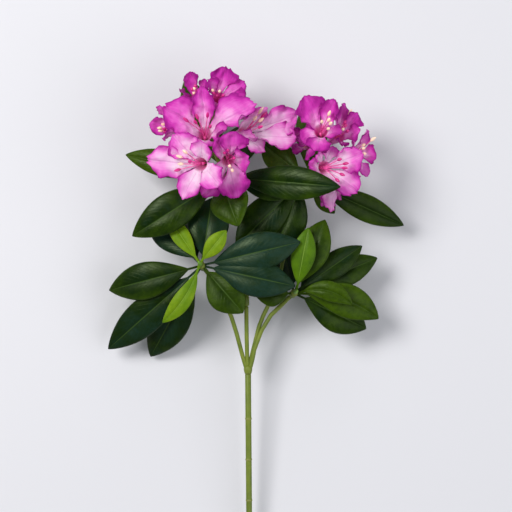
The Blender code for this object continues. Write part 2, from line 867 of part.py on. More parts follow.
def build_stamens(name, bloom, others, group):
    """A plug in the tube's mouth with its filaments and anthers."""
    own = cell_centre(bloom)
    axis = bloom.axis
    height = TUBE_LENGTH - 3.0
    profile = [(0.0, height), (1.6, height - 1.0), (PLUG_RADIUS, 3.0), (PLUG_RADIUS, 0.0), (0.0, 0.0)]
    pieces = [turned(name, profile, tube_base(bloom), axis, 5, group)]
    for number, tip in enumerate(bloom.stamens):
        start = bloom.throat - axis * 5.0
        start += (tip - start - axis * (tip - start).dot(axis)).normalized() * 0.75
        chord = tip - start
        ends = (start, start + axis * (0.35 * chord.length), tip - chord * 0.3, tip)
        points, radii = [], []
        for share, bulge in ((0.0, 1.0), (0.42, 1.0), (0.78, 0.9), (0.89, 2.6), (1.0, 1.0)):
            point = curve_point(ends, share)
            if (point - bloom.throat).dot(axis) > 3.0:
                point = kept_in_cell(point, own, others, axis, STAMEN_MARGIN, 0.0)
            points.append(point)
            radii.append(FILAMENT_RADIUS * bulge)
        pieces.append(tube(f"{name}_{number}", points, radii, 4, group))
    fused(name, pieces, group, STAMEN)


def stalklet(name, bloom, rachis, group):
    """The thin stalk of one floret, from the head's stalk to the small cup under the floret's tube."""
    base, axis = tube_base(bloom), bloom.axis
    seat = base - axis * FIT_GAP
    run = rachis[1] - rachis[0]
    share = (base - rachis[0]).dot(run) / run.length_squared - 0.25
    origin = rachis[0].lerp(rachis[1], min(max(share, 0.05), 0.95))
    neck = seat - axis * 3.2
    points = [origin, origin.lerp(neck, 0.55) + axis * 0.5, neck, seat - axis * 1.4, seat]
    radii = [PEDICEL_RADIUS] * 3 + [CALYX_RADIUS * 0.75, CALYX_RADIUS]
    return tube(name, points, radii, 4, group)


def build_head(head, arm, group):
    """A head's stalk with its socket and stalklets, and the collar of leaves under the florets."""
    socket, start, direction = socket_on(f"{head.name}_socket", arm, SLEEVE_RADIUS, group)
    knots = [Vector(place) for place in head.knots]
    route = smooth_route([start - direction * 2.0, *knots, head.collar, *head.rachis], STALK_POINTS)
    radii = [STALK_RADIUS] * (STALK_POINTS - 2) + [2.2, 1.5]
    pieces = [socket, tube(f"{head.name}_stalk", route, radii, 6, group)]
    for number, bloom in enumerate(head.florets):
        pieces.append(stalklet(f"{head.name}_stalklet_{number}", bloom, head.rachis, group))
    fused(f"{head.name}_flower_stalk", pieces, group, MOULDED_GREEN)
    near = min(range(len(route)), key=lambda i: (route[i] - head.collar).length)
    axis = (route[near + 1] - route[near - 1]).normalized()
    ring = turned(
        f"{head.name}_ring",
        open_sleeve(COLLAR_RADIUS, STALK_RADIUS + 1.0, COLLAR_LENGTH),
        head.collar + axis * (COLLAR_LENGTH / 2),
        axis,
        SLEEVE_SIDES,
        group,
    )
    name = f"{head.name}_collar_leaves"
    leafy(name, ring, head.leaves, head.collar, axis, COLLAR_RADIUS, group, DARK_LEAF)


def build_whorl(side, arm, leaves, young, group):
    """The hub on an arm's end with its grown leaves, and the young shoot on top of it."""
    hub, start, direction = socket_on(f"{side}_hub", arm, HUB_RADIUS, group)
    centre = start - direction * 3.0
    leafy(f"{side}_whorl_leaves", hub, leaves, centre, direction, HUB_RADIUS, group, DARK_LEAF)
    profile = [(0.0, 9.0), (1.2, 7.5), (2.2, 3.0), (2.0, 0.0), (0.0, 0.0)]
    bud = turned(f"{side}_bud", profile, start + direction * 2 * FIT_GAP, direction, 6, group)
    leafy(f"{side}_young_shoot", bud, young, start + direction * 4.0, direction, 2.1, group, YOUNG_LEAF)


def build_florets(heads, group):
    everything = [bloom for head in heads for bloom in head.florets]
    for head in heads:
        for number, bloom in enumerate(head.florets, 1):
            others = [cell_centre(other) for other in everything if other is not bloom]
            build_corolla(f"{head.name}_floret_{number}", bloom, others, group)
            build_stamens(f"{head.name}_stamens_{number}", bloom, others, group)


def main():
    clear_scene()
    group = collection("rhododendron_spray")
    arms = arm_routes()
    build_stem(group)
    build_fork(arms, group)
    build_head(LEFT_HEAD, arms["centre"], group)
    build_head(RIGHT_HEAD, arms["right"], group)
    build_whorl("left", arms["left"], LEFT_WHORL, LEFT_SHOOT, group)
    build_whorl("right", arms["low_right"], RIGHT_WHORL, RIGHT_SHOOT, group)
    build_florets([LEFT_HEAD, RIGHT_HEAD], group)


main()
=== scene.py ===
import math
import random

import bmesh
import bpy
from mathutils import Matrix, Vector, noise


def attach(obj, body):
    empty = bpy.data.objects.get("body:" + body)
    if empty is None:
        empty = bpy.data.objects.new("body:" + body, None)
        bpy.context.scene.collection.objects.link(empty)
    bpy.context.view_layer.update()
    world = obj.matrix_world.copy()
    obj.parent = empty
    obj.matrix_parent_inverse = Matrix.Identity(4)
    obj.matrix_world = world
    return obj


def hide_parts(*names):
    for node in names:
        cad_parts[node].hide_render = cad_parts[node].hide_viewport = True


# Looks for the artificial rhododendron spray. Lengths in the tables are in millimetres.

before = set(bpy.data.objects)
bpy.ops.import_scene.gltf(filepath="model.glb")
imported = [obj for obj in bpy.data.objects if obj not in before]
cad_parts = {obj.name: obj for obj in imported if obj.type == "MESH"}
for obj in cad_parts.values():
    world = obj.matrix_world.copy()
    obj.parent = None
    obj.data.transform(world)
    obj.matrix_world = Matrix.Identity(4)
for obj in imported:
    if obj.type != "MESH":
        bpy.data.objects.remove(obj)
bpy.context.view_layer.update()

# A millimetre, and how near two points of a mesh become one, both in metres
MM = 0.001
WELD_DISTANCE = 1e-5

# The photo's view, straight down
CAMERA_HEIGHT = 3060.0
FRAME_HEIGHT = 60.0
FRAME_WIDTH = 512.0
EYE = (1.0, 130.0)

# Stem and arms, as in the part
STEM_RADIUS = 3.05
BORE_RADIUS = 1.65
WIRE_RADIUS = 1.3
FIT_GAP = 0.35
CUT_END = Vector((-4.6, -318.0, 2.95))
JUNCTION = Vector((-7.0, 11.0, 36.0))
SCARS = 5
FIRST_SCAR_BELOW_FORK = 45.6
SCAR_SPACING = 41.7
FORK_PIN_LENGTH = 10.0
ARM_RADIUS = 2.15
ARM_PIN_RADIUS = 1.5
ARM_PIN_LENGTH = 6.0
SLEEVE_RADIUS = 2.85
SLEEVE_CAP = 4.5
HUB_RADIUS = 3.8
BUD_RADIUS = 2.1
ARM_POINTS = 10
STALK_POINTS = 12
STALK_RADIUS = 1.9
COLLAR_RADIUS = 4.8
COLLAR_LENGTH = 5.0

# Stem and arms, the scene's own: rings and bud in (height, rise, tone) and (radius, height)
ROUND_SIDES = 20
SCAR_SHAPE = ((1.9, 0.0, 0.0), (1.1, 0.12, 0.3), (0.5, 0.38, 0.9), (0.0, 0.45, 1.0), (-0.5, 0.3, 0.9))
BUD_PROFILE = ((0, 9), (0.7, 8.6), (1.2, 7.5), (1.9, 5), (2.2, 3), (2.1, 1), (2, 0), (0, 0))

# Leaf blades, as in the part
PETIOLE_WIDTH = 2.4
PETIOLE_SHARE = 0.10
PETIOLE_TAPER = 0.7
MIDRIB_FOLD = 0.34
EDGE_DROOP = 0.42
LEAF_THICKNESS = 0.8
ROOT_DEPTH = 0.8
ROOT_SHIFT = 2.0

# Leaf blades, the scene's own: grid, groove over the midrib, and waves towards the edge
LEAF_ROWS = 44
LEAF_COLUMNS = 18
GROOVE_DEPTH = 0.7
GROOVE_WIDTH = 1.1
LEAF_WAVE = 0.7

# Florets, as in the part
TUBE_LENGTH = 14.0
TUBE_RADIUS = 2.3
THROAT_RADIUS = 6.6
LOBES = 5
LOBE_FOOT = 0.45
LOBE_END = 0.42
WIDEST_AT = 0.60
START_SHARE = 0.8
TURNED_BY = 0.45
BROAD_FROM = 0.22
OPEN_CURL = 55.0
CELL_REACH = 0.32
CELL_MARGIN = 0.9
CELL_SOFTNESS = 4.0
CELL_FLATNESS = 2.8
TURN_UP = 0.8
FLOOR_MARGIN = 2.0
STAMEN_MARGIN = 3.5
FILAMENT_RADIUS = 0.55
PLUG_RADIUS = 1.3
PEDICEL_RADIUS = 1.1
NECK_LENGTH = 3.2
CALYX_RADIUS = 2.7

# Florets, the scene's own: grid, overlapping lobes, relief of the cloth, and finer stamens
PETAL_THICKNESS = 0.55
TUBE_ROWS = 4
LOBE_ROWS = 30
LOBE_COLUMNS = 22
TUBE_SHARE = 0.2
LOBE_GAP = 0.6
OVERLAP = math.radians(16)
OVERLAP_RISE = 2.4
PETAL_SPREAD = 1.14
SCALLOP = 0.16
SCALLOP_LENGTH = 5.0
TROUGH_DEPTH = 1.8
TROUGH_WIDTH = 0.24
RUFFLE_LENGTH = 12.0
RUFFLE_DRIFT = 2.2
FINE_RUFFLES = 2.3
FINE_SHARE = 0.35
TIP_RUFFLES = 1.3
TIP_SHARE = 0.7
TIP_FROM = 0.6
CRUMPLE_LENGTH = 9.0
CRUMPLE_HEIGHT = 2.6
DENT_LENGTH = 3.6
DENT_HEIGHT = 0.9
PEDICEL_POINTS = 13
FILAMENT_POINTS = 15
FILAMENT_END = 0.80
ANTHER_START = 0.75
ANTHER_BULGE = (0.5, 1.6, 2.5, 2.9, 2.9, 2.6, 2.1, 1.4, 0.4)

# Studio, in metres and watts
FLOOR_HALF_WIDTH = 4.0
LIGHT_TARGET = Vector((0.0, 0.12, 0.05))
LIGHTS = (
    # name, place, width, power, colour
    ("key", (-1.3, 0.9, 2.1), 1.1, 64.0, (1.0, 0.99, 0.97)),
    ("fill", (1.7, -0.4, 2.0), 2.4, 38.0, (0.97, 0.98, 1.0)),
    ("rim", (0.6, 2.4, 0.9), 1.2, 8.0, (1.0, 1.0, 1.0)),
)
WORLD_COLOUR = (0.86, 0.88, 0.93, 1.0)
WORLD_STRENGTH = 0.31


def leaf(tip, width, arch=8.0, bend=0.0, face=(0, 0, 1), tone=0.35):
    """A leaf by the place of its tip. arch and bend bow it up and sideways, face is the way that its
    top looks, and tone runs from blue green at 0 to yellow green at 1."""
    return dict(tip=Vector(tip), width=width, arch=arch, bend=bend, face=Vector(face), tone=tone)


def seen(x, y, z):
    """The place at height z that the photo shows at (x, y): its lines of sight spread from a camera
    CAMERA_HEIGHT over the surface, above EYE."""
    share = (CAMERA_HEIGHT - z) / (CAMERA_HEIGHT - FRAME_HEIGHT)
    return Vector((EYE[0] + (x - EYE[0]) * share, EYE[1] + (y - EYE[1]) * share, z))


def floret(throat, axis, lobes, stamens, seed, depth=0.5):
    """A funnel of five lobes. throat is the middle of its mouth, axis the way that it opens, lobes
    the (x, y, rise over the throat, width) of each lobe's tip, stamens the (x, y, rise, cream) of
    each stamen's tip, and depth the depth of its dye, from 0 to 1, which also paints shade on
    florets that sit in shade and paints light on one that falls in shadow."""
    mouth = seen(*throat)
    return dict(
        throat=mouth,
        axis=Vector(axis).normalized(),
        lobes=[(seen(x, y, throat[2] + rise), width) for x, y, rise, width in lobes],
        stamens=[(seen(x, y, throat[2] + rise), cream) for x, y, rise, cream in stamens],
        seed=seed,
        depth=depth,
    )


def plain_floret(throat, axis, length, width, opening, seed, depth=0.5):
    """A floret with its lobes and stamens evenly round it."""
    axis = Vector(axis).normalized()
    side = axis.orthogonal().normalized()
    other = axis.cross(side)
    made = floret(throat, axis, [], [], seed, depth)
    lean = math.radians(opening)

    def spot(turn, rise, reach):
        out = side * math.cos(turn) + other * math.sin(turn)
        return made["throat"] + axis * (length * rise) + out * (length * reach)

    for n in range(LOBES):
        turn = math.tau * (n + 0.25) / LOBES
        made["lobes"].append((spot(turn, math.cos(lean), math.sin(lean)), width))
        made["stamens"].append((spot(turn + math.pi / LOBES, 0.5, 0.16), n % 2))
    return made


# Where each arm of the fork runs
ARM_KNOTS = {
    "left": (
        (-10.6, 22, 37.5),
        (-18.5, 52, 41),
        (-27, 77, 44),
        (-41, 104, 45.5),
        (-50, 116, 50),
        (-53, 120, 59),
    ),
    "centre": ((-7.8, 24, 37.2), (-8.3, 45, 39.5), (-8.6, 65, 41.5), (-8.7, 85, 43.5)),
    "right": ((-4.6, 24, 36.2), (0.6, 45, 38), (5.4, 63, 39.5), (14, 82, 41), (22, 100, 42.5)),
    "low_right": (
        (-3.2, 22, 38),
        (-0.6, 36, 40),
        (11, 64, 42),
        (26, 80, 41),
        (35.5, 89.5, 43),
        (38.7, 92.5, 51.5),
    ),
}

LEFT_WHORL = [
    leaf((-146.6, 95.5, 38), 37, arch=9, tone=0.45),
    leaf((-148.5, 36, 20), 36, arch=8, tone=0.22),
    leaf((-106, 28, 9), 40, arch=6, tone=0.3),
    leaf((-12, 73.4, 70), 38, arch=7, tone=0.65),
    leaf((40, 100, 76), 38, arch=10, tone=0.0),
    leaf((45, 144, 78), 38, arch=10, tone=0.0),
    leaf((-43, 188, 48), 42, arch=6, tone=0.2),
    leaf((-107, 174, 32), 34, arch=4, tone=0.1),
    leaf((-84, 168, 10), 36, arch=4, tone=0.3),
]
LEFT_SHOOT = [
    leaf((-92.4, 63.6, 62), 18, arch=8, bend=5, tone=0.6),
    leaf((-28.6, 155.4, 76), 18, arch=4, tone=0.8),
    leaf((-87, 169, 57), 18, arch=3, tone=0.7),
]
RIGHT_WHORL = [
    leaf((70, 166, 60), 34, arch=8, tone=0.7),
    leaf((107.4, 140, 44), 26, arch=7, tone=0.35),
    leaf((123, 128, 36), 30, arch=5, tone=0.45),
    leaf((97, 81.4, 64), 20, arch=6, bend=9, tone=0.85),
    leaf((124, 67, 42), 34, arch=7, bend=8, tone=0.85),
    leaf((112, 56.7, 30), 36, arch=6, tone=0.5),
    leaf((0.6, 90.6, 62), 24, arch=8, tone=0.7),
    leaf((26, 150, 14), 34, arch=-3, tone=0.2),
    leaf((84, 126, 8), 36, arch=4, tone=0.3),
]
RIGHT_SHOOT = [leaf((53, 158, 72), 24, arch=6, tone=0.25)]
LEFT_COLLAR = [
    leaf((-71, 311, -20), 38, arch=4, tone=0.8),
    leaf((-130, 232, 38), 27, arch=6, tone=0.85),
    leaf((-122.5, 150, 60), 38, arch=14, tone=0.45),
    leaf((-16.3, 159.5, 96), 40, arch=12, face=(0, -0.4, 0.9), tone=0.75),
    leaf((84, 198, 110), 34, arch=10, tone=0.4),
    leaf((45, 196, 76), 32, arch=5, tone=0.35),
    leaf((-6, 264, 12), 34, arch=0, tone=0.4),
]
# Each floret's depth is partly its dye and partly painted shade: deeper for florets that sit in shade, paler
# for one that falls in shadow.
LEFT_FLORETS = [
    floret(
        (-54, 222, 118), (-0.30, -0.12, 0.94),
        [(-109, 227, -4, 30), (-82, 252, 8, 26), (-72.5, 186.5, 0, 20),
         (-34, 200, 20, 22), (-53, 246, 20, 20)],
        [(-72.5, 236, 15, 1), (-79, 230.5, 12, 1), (-77.5, 222, 13, 1),
         (-67, 224.5, 19, 0), (-81, 215, 10, 0)],
        seed=1, depth=0.12,
    ),
    floret(
        (-27, 226, 98), (0.10, -0.25, 0.95),
        [(-22, 256, 22, 30), (-6, 229, 22, 26), (-19, 187, 6, 28), (-53, 188, -4, 20), (-40, 249, 18, 15)],
        [(-31, 234, 19, 0), (-27, 237, 20, 0), (-20, 228, 21, 0), (-25, 219, 20, 1), (-22, 214, 19, 1)],
        seed=2, depth=0.6,
    ),
    floret(
        (-50, 251, 88), (0.02, 0.42, 0.9),
        [(-92, 281, 10, 34), (2, 283.5, 13, 33), (-53, 301, 11, 20), (-27, 258, 18, 20), (-49, 238, 17, 20)],
        [(-72, 268.5, 18, 0), (-61, 266, 22, 0), (-59, 272, 18, 0), (-47, 274, 20, 0), (-44, 261, 23, 0)],
        seed=3, depth=0.55,
    ),
    floret(
        (-36, 288, 74), (0.35, 0.40, 0.85),
        [(-29.5, 320, 5, 25), (-9, 303, 0, 20), (-9, 288, 16, 24), (-33, 274, 13, 22), (-47, 307, 12, 16)],
        [(-43, 297, 16, 1), (-42, 294, 17, 0), (-38, 291, 16, 0), (-35, 296, 16, 1), (-31, 291, 16, 0)],
        seed=4, depth=0.88,
    ),
    floret(
        (-58, 289, 60), (-0.5, 0.5, 0.7),
        [(-63, 315, 6, 24), (-72, 293, 14, 24), (-49, 307, 2, 16), (-49, 290, 12, 14), (-62, 280, 14, 16)],
        [(-60, 302, 11, 0), (-64, 298, 12, 0), (-61, 299, 13, 1), (-57, 297, 10, 0), (-62, 294, 12, 1)],
        seed=5, depth=1.0,
    ),
    floret(
        (-78, 258, 66), (-0.9, 0.0, 0.42),
        [(-106, 262, -6, 16), (-97, 281, 4, 18), (-91, 247, 14, 16), (-82, 234, 0, 16), (-84, 282, 12, 14)],
        [(-98, 258, 6, 1), (-94, 262, 8, 1), (-92, 254, 10, 0), (-93, 257, 12, 0), (-97, 255, 3, 1)],
        seed=6, depth=0.5,
    ),
    floret(
        (-12, 252, 70), (0.65, 0.1, 0.75),
        [(45, 273, 5, 31), (43, 247, 5, 30), (0, 249, 22, 16), (12, 279, 6, 18), (10, 234, 0, 18)],
        [(8.5, 279, 18, 1), (9, 268, 18, 1), (8, 260, 22, 0), (2, 270, 16, 1), (12, 274, 12, 0)],
        seed=7, depth=0.12,
    ),
    plain_floret((-24, 270, 52), (0.6, 0.75, -0.1), 27, 17, 46, 8, 0.6),
]
LEFT_HEAD = dict(
    name="left",
    knots=((-4.0, 108, 45.5), (-8, 146, 47), (-20, 184, 51)),
    collar=Vector((-30.0, 209.0, 56.0)),
    rachis=(Vector((-34, 218, 61)), Vector((-44, 246, 76))),
    leaves=LEFT_COLLAR,
    florets=LEFT_FLORETS,
)
RIGHT_COLLAR = [
    leaf((62.5, 293, -20), 34, arch=4, tone=0.85),
    leaf((150, 161, 30), 27, arch=4, tone=0.5),
    leaf((7, 244, 28), 30, arch=4, tone=0.75),
    leaf((80, 173, 38), 18, arch=2, tone=0.7),
    # The two leaves below are set to the darkest leaf tone as painted shade.
    leaf((-19, 140, 56), 40, arch=4, tone=0.36),
    leaf((21, 138, 53), 40, arch=3, tone=0.36),
]
# Each floret's depth is partly its dye and partly painted shade: deeper for florets that sit in shade, paler
# for one that falls in shadow.
RIGHT_FLORETS = [
    floret(
        (69, 218.5, 88), (0.45, 0.02, 0.89),
        [(104, 194, 2, 27), (108, 234, 6, 26), (78, 241, 7.5, 20), (54, 222, 16, 14), (62, 236, 12, 16)],
        [(87, 228, 16, 0), (94, 223, 18, 0), (93, 218, 20, 0), (90, 210.5, 18, 0), (84.5, 204, 14, 0)],
        seed=11, depth=0.35,
    ),
    floret(
        (66, 254, 96), (0.0, 0.35, 0.92),
        [(50, 291, 6, 28), (80, 288, 8, 16), (87, 254, 12, 16), (62, 234, 14, 22), (46, 244, 6, 20)],
        [(75.5, 275.5, 16, 1), (67, 266, 22, 1), (75, 268, 22, 1), (77, 264, 24, 1), (74.5, 258, 26, 1)],
        seed=12, depth=0.78,
    ),
    floret(
        (83, 250, 80), (0.55, 0.45, 0.7),
        [(103, 273, 3, 27), (89, 283, -2, 16), (106, 256, 6, 19), (89, 240, 8, 16), (70, 270, 12, 14)],
        [(97, 277, 4, 1), (92, 262, 13, 0), (91, 266, 13, 0), (89, 258, 14, 1), (94, 256, 13, 0)],
        seed=13, depth=0.75,
    ),
    floret(
        (99, 232, 68), (0.75, 0.0, 0.65),
        [(112, 257, 6, 20), (122, 229, 4, 23), (113, 209, -2, 17), (97, 249, 9, 15), (95, 216, 11, 16)],
        [(110, 243, 11, 1), (110, 239, 12, 1), (111, 233, 14, 1), (107, 227, 14, 1), (121, 249, 8, 1)],
        seed=14, depth=0.5,
    ),
    floret(
        (74, 199, 66), (0.05, -0.95, 0.25),
        [(78, 175, 11, 24), (66, 180, 6, 17), (68, 187, -7, 12), (81, 187, -7, 12), (86, 186, 2, 13)],
        [(75, 189, 3, 0), (73, 188, 2, 0), (74, 187, 0, 0), (76, 189, 0, 1), (73, 190, -1, 1)],
        seed=15, depth=0.2,
    ),
    floret(
        (54, 243, 50), (-0.80, 0.1, 0.55),
        [(36, 258, 4, 20), (37, 234, 2, 20), (42, 247, 18, 16), (54, 264, 10, 14), (54, 226, 10, 14)],
        [(46, 250, 10, 0), (45, 246, 8, 0), (46, 242, 10, 0), (48, 254, 6, 1), (48, 239, 4, 1)],
        seed=16, depth=0.85,
    ),
    plain_floret((85, 254, 46), (0.5, 0.6, 0.4), 18, 14, 48, 17, 0.7),
]
RIGHT_HEAD = dict(
    name="right",
    knots=((32, 141, 45), (43, 178, 48.5)),
    collar=Vector((52.0, 206.0, 54.0)),
    rachis=(Vector((55, 215, 53.5)), Vector((70, 237, 53))),
    leaves=RIGHT_COLLAR,
    florets=RIGHT_FLORETS,
)


class Graph:
    """Short calls that build the nodes of one material."""

    def __init__(self, name):
        self.material = bpy.data.materials.new(name)
        self.material.use_nodes = True
        self.tree = self.material.node_tree
        self.shader = self.tree.nodes["Principled BSDF"]

    def add(self, kind, inputs=(), **settings):
        node = self.tree.nodes.new(kind)
        for key, value in settings.items():
            setattr(node, key, value)
        for place, value in enumerate(inputs):
            if value is not None:
                self.put(node.inputs[place], value)
        return node

    def put(self, socket, value):
        if isinstance(value, bpy.types.NodeSocket):
            self.tree.links.new(value, socket)
        else:
            socket.default_value = value

    def calc(self, operation, a, b=0.0, clamp=False):
        return self.add("ShaderNodeMath", (a, b), operation=operation, use_clamp=clamp).outputs[0]

    def plus(self, a, b, clamp=False):
        return self.calc("ADD", a, b, clamp)

    def times(self, a, b):
        return self.calc("MULTIPLY", a, b)

    def swing(self, value, gain):
        """How far value is from a half, times gain."""
        return self.times(self.calc("SUBTRACT", value, 0.5), gain)

    def mix(self, factor, a, b):
        node = self.add("ShaderNodeMix", data_type="RGBA")
        for name, value in (("Factor_Float", factor), ("A_Color", a), ("B_Color", b)):
            socket = next(s for s in node.inputs if s.identifier == name)
            self.put(socket, value)
        return next(s for s in node.outputs if s.identifier == "Result_Color")

    def ramp(self, factor, stops):
        node = self.add("ShaderNodeValToRGB", (factor,))
        marks = node.color_ramp.elements
        for place, colour in stops[2:]:
            marks.new(place)
        for mark, (place, colour) in zip(marks, stops):
            mark.position = place
            mark.color = (*colour, 1.0)
        return node.outputs[0]

    def span(self, value, low, high, to_low=0.0, to_high=1.0):
        node = self.add("ShaderNodeMapRange", (value, low, high, to_low, to_high))
        node.interpolation_type = "SMOOTHSTEP"
        return node.outputs[0]

    def named(self, kind, **values):
        """The first output of a new node, with these values on its inputs of these names."""
        node = self.add(kind)
        for name, value in values.items():
            self.put(node.inputs[name], value)
        return node.outputs[0]

    def speckle(self, vector, scale, detail=3.0, roughness=0.55):
        values = dict(Vector=vector, Scale=scale, Detail=detail, Roughness=roughness)
        return self.named("ShaderNodeTexNoise", **values)

    def stretched(self, vector, scale):
        node = self.add("ShaderNodeVectorMath", (vector, scale), operation="MULTIPLY")
        return node.outputs[0]

    def place(self):
        return self.add("ShaderNodeTexCoord").outputs["Object"]

    def blade(self):
        """How far along a blade, from 0 to 1, how far off its middle line, from 0 to 1, and its UV."""
        uv = self.add("ShaderNodeUVMap", uv_map="blade").outputs[0]
        parts = self.add("ShaderNodeSeparateXYZ", (uv,))
        across = self.calc("MULTIPLY_ADD", parts.outputs[1], 2.0)
        across.node.inputs[2].default_value = -1.0
        return parts.outputs[0], self.calc("ABSOLUTE", across), uv

    def value_of(self, name):
        return self.add("ShaderNodeAttribute", attribute_name=name).outputs["Fac"]

    def bump(self, height, strength, distance, onto=None):
        values = dict(Height=height, Strength=strength, Distance=distance)
        if onto is not None:
            values["Normal"] = onto
        return self.named("ShaderNodeBump", **values)

    def set(self, **values):
        for name, value in values.items():
            self.put(self.shader.inputs[name.replace("_", " ")], value)


def leaf_material(name, tones, vein, sheen):
    """A coated leaf: tones run from the bluest to the yellowest leaf, vein is its midrib's colour,
    and sheen its lowest and highest roughness."""
    side_veins = 15.0
    vein_slant = 4.0
    g = Graph(name)
    along, off, _ = g.blade()
    tone = g.value_of("tone")
    place = g.place()
    blotch = g.speckle(place, 42.0, 4.0, 0.6)
    shifted = g.plus(tone, g.swing(blotch, 1.25))
    warm = g.times(g.calc("POWER", off, 3.0), g.times(tone, 0.45))
    colour = g.ramp(g.plus(shifted, warm), tones)
    speckle = g.speckle(place, 260.0, 4.0, 0.7)
    colour = g.mix(g.span(speckle, 0.35, 0.75, 0.0, 0.5), colour, (*tones[1][1], 1.0))
    run = g.calc("SUBTRACT", g.times(along, side_veins), g.times(off, vein_slant))
    ridge = g.calc("ABSOLUTE", g.calc("SUBTRACT", g.calc("FRACT", run), 0.5))
    side_vein = g.times(g.span(ridge, 0.10, 0.0), g.span(off, 0.04, 0.2))
    side_vein = g.times(side_vein, g.span(off, 1.0, 0.7))
    midrib = g.span(off, 0.055, 0.015)
    colour = g.mix(g.times(side_vein, 0.05), colour, vein)
    colour = g.mix(g.times(midrib, 0.5), colour, vein)
    edge = g.times(g.span(off, 0.96, 1.0), 0.35)
    colour = g.mix(edge, colour, vein)
    height = g.calc("SUBTRACT", g.times(midrib, -0.9), g.times(side_vein, 0.3))
    normal = g.bump(height, 0.5, 0.0005)
    normal = g.bump(g.speckle(place, 90.0, 3.0), 0.3, 0.0008, normal)
    normal = g.bump(g.speckle(place, 700.0, 2.0), 0.35, 0.0003, normal)
    rough = g.span(g.speckle(place, 60.0), 0.3, 0.7, *sheen)
    g.set(Base_Color=colour, Roughness=rough, Normal=normal)
    g.set(Specular_IOR_Level=0.16, Specular_Tint=(0.72, 0.90, 0.50, 1.0))
    return g.material


def leaf_back_material(name, colour, vein):
    """The duller back of a leaf, with a wide midrib."""
    g = Graph(name)
    _, off, _ = g.blade()
    place = g.place()
    mottled = g.mix(g.speckle(place, 90.0, 4.0, 0.65), colour, vein)
    mottled = g.mix(0.6, mottled, colour)
    midrib = g.span(off, 0.09, 0.02)
    normal = g.bump(g.plus(midrib, g.speckle(place, 500.0)), 0.5, 0.0006)
    g.set(Base_Color=g.mix(g.times(midrib, 0.8), mottled, vein), Normal=normal, Roughness=0.62)
    return g.material


def petal_material(name, inside):
    """Thin dyed fabric: pale at the throat, orchid at the waved edge, with a crease darkened by painted
    shade, and fine veins.
    """
    g = Graph(name)
    along, off, uv = g.blade()
    depth = g.value_of("tone")
    place = g.place()
    lobe = g.span(along, TUBE_SHARE, 1.0)
    edge = g.plus(g.times(g.calc("POWER", off, 1.8), 0.40), g.times(lobe, 0.60))
    cloud = g.swing(g.speckle(place, 60.0, 2.0), 0.9)
    streak = g.swing(g.speckle(g.stretched(uv, (3.0, 34.0, 1.0)), 1.0, 3.0, 0.6), 0.35)
    rim = g.calc("MAXIMUM", g.span(off, 0.86, 1.0), g.span(along, 0.93, 1.0))
    edge = g.plus(edge, g.times(rim, 0.2))
    shade = g.plus(g.plus(edge, cloud), streak)
    # The floret's depth deepens the dye, and is also painted shade on florets in shade and painted light on
    # one in shadow.
    shade = g.plus(shade, g.swing(depth, 0.62), clamp=True)
    inner = [
        (0.0, (0.98, 0.80, 0.94)),
        (0.25, (0.95, 0.50, 0.84)),
        (0.48, (0.86, 0.18, 0.69)),
        (0.74, (0.70, 0.045, 0.52)),
        (1.0, (0.44, 0.01, 0.32)),
    ]
    outer = [
        (0.0, (0.93, 0.64, 0.87)),
        (0.4, (0.84, 0.32, 0.72)),
        (0.75, (0.68, 0.09, 0.54)),
        (1.0, (0.46, 0.02, 0.34)),
    ]
    colour = g.ramp(shade, inner if inside else outer)
    if inside:
        throat = g.times(g.span(along, 0.27, 0.12), 0.7)
        colour = g.mix(throat, colour, (0.90, 0.12, 0.44, 1.0))
        guide = g.span(g.speckle(g.stretched(uv, (2.0, 60.0, 1.0)), 1.0, 1.0), 0.55, 0.7)
        guide = g.times(guide, g.span(along, 0.6, 0.25))
        colour = g.mix(g.times(guide, 0.45), colour, (0.82, 0.12, 0.50, 1.0))
    # Painted shade: the colour darkens along the crease down the middle of each lobe.
    crease = g.times(g.span(off, 0.07, 0.0), g.span(along, 0.2, 0.4))
    colour = g.mix(g.times(crease, 0.35), colour, (0.62, 0.10, 0.52, 1.0))
    veins = g.speckle(g.stretched(uv, (5.0, 70.0, 1.0)), 1.0, 2.0)
    height = g.plus(g.times(veins, 0.7), g.times(crease, -0.8))
    normal = g.bump(height, 0.45, 0.0006)
    normal = g.bump(g.speckle(place, 900.0, 2.0), 0.3, 0.00015, normal)
    g.set(Base_Color=colour, Normal=normal, Roughness=0.62)
    g.set(Sheen_Weight=0.05, Specular_IOR_Level=0.2)
    through = g.add("ShaderNodeBsdfTranslucent")
    g.put(through.inputs["Color"], colour)
    g.put(through.inputs["Normal"], normal)
    both = g.add("ShaderNodeMixShader", (0.42, g.shader.outputs[0], through.outputs[0]))
    g.put(g.tree.nodes["Material Output"].inputs["Surface"], both.outputs[0])
    return g.material


def stem_material(name):
    """Moulded green plastic, yellower on its rings, with fine lengthwise marks from the mould."""
    g = Graph(name)
    place = g.place()
    blotch = g.speckle(place, 45.0, 3.0)
    colour = g.ramp(blotch, [
        (0.25, (0.078, 0.115, 0.010)),
        (0.5, (0.132, 0.176, 0.016)),
        (0.8, (0.220, 0.252, 0.030)),
    ])
    ring = g.value_of("tone")
    colour = g.mix(g.times(ring, 0.6), colour, (0.25, 0.25, 0.07, 1.0))
    grain = g.speckle(g.stretched(place, (1.0, 0.12, 1.0)), 900.0, 2.0)
    colour = g.mix(g.span(grain, 0.45, 0.8, 0.0, 0.25), colour, (0.05, 0.10, 0.01, 1.0))
    normal = g.bump(grain, 0.35, 0.0003)
    normal = g.bump(g.speckle(place, 220.0), 0.3, 0.0005, normal)
    rough = g.span(blotch, 0.3, 0.7, 0.42, 0.6)
    g.set(Base_Color=colour, Roughness=rough, Normal=normal, Specular_IOR_Level=0.3)
    return g.material


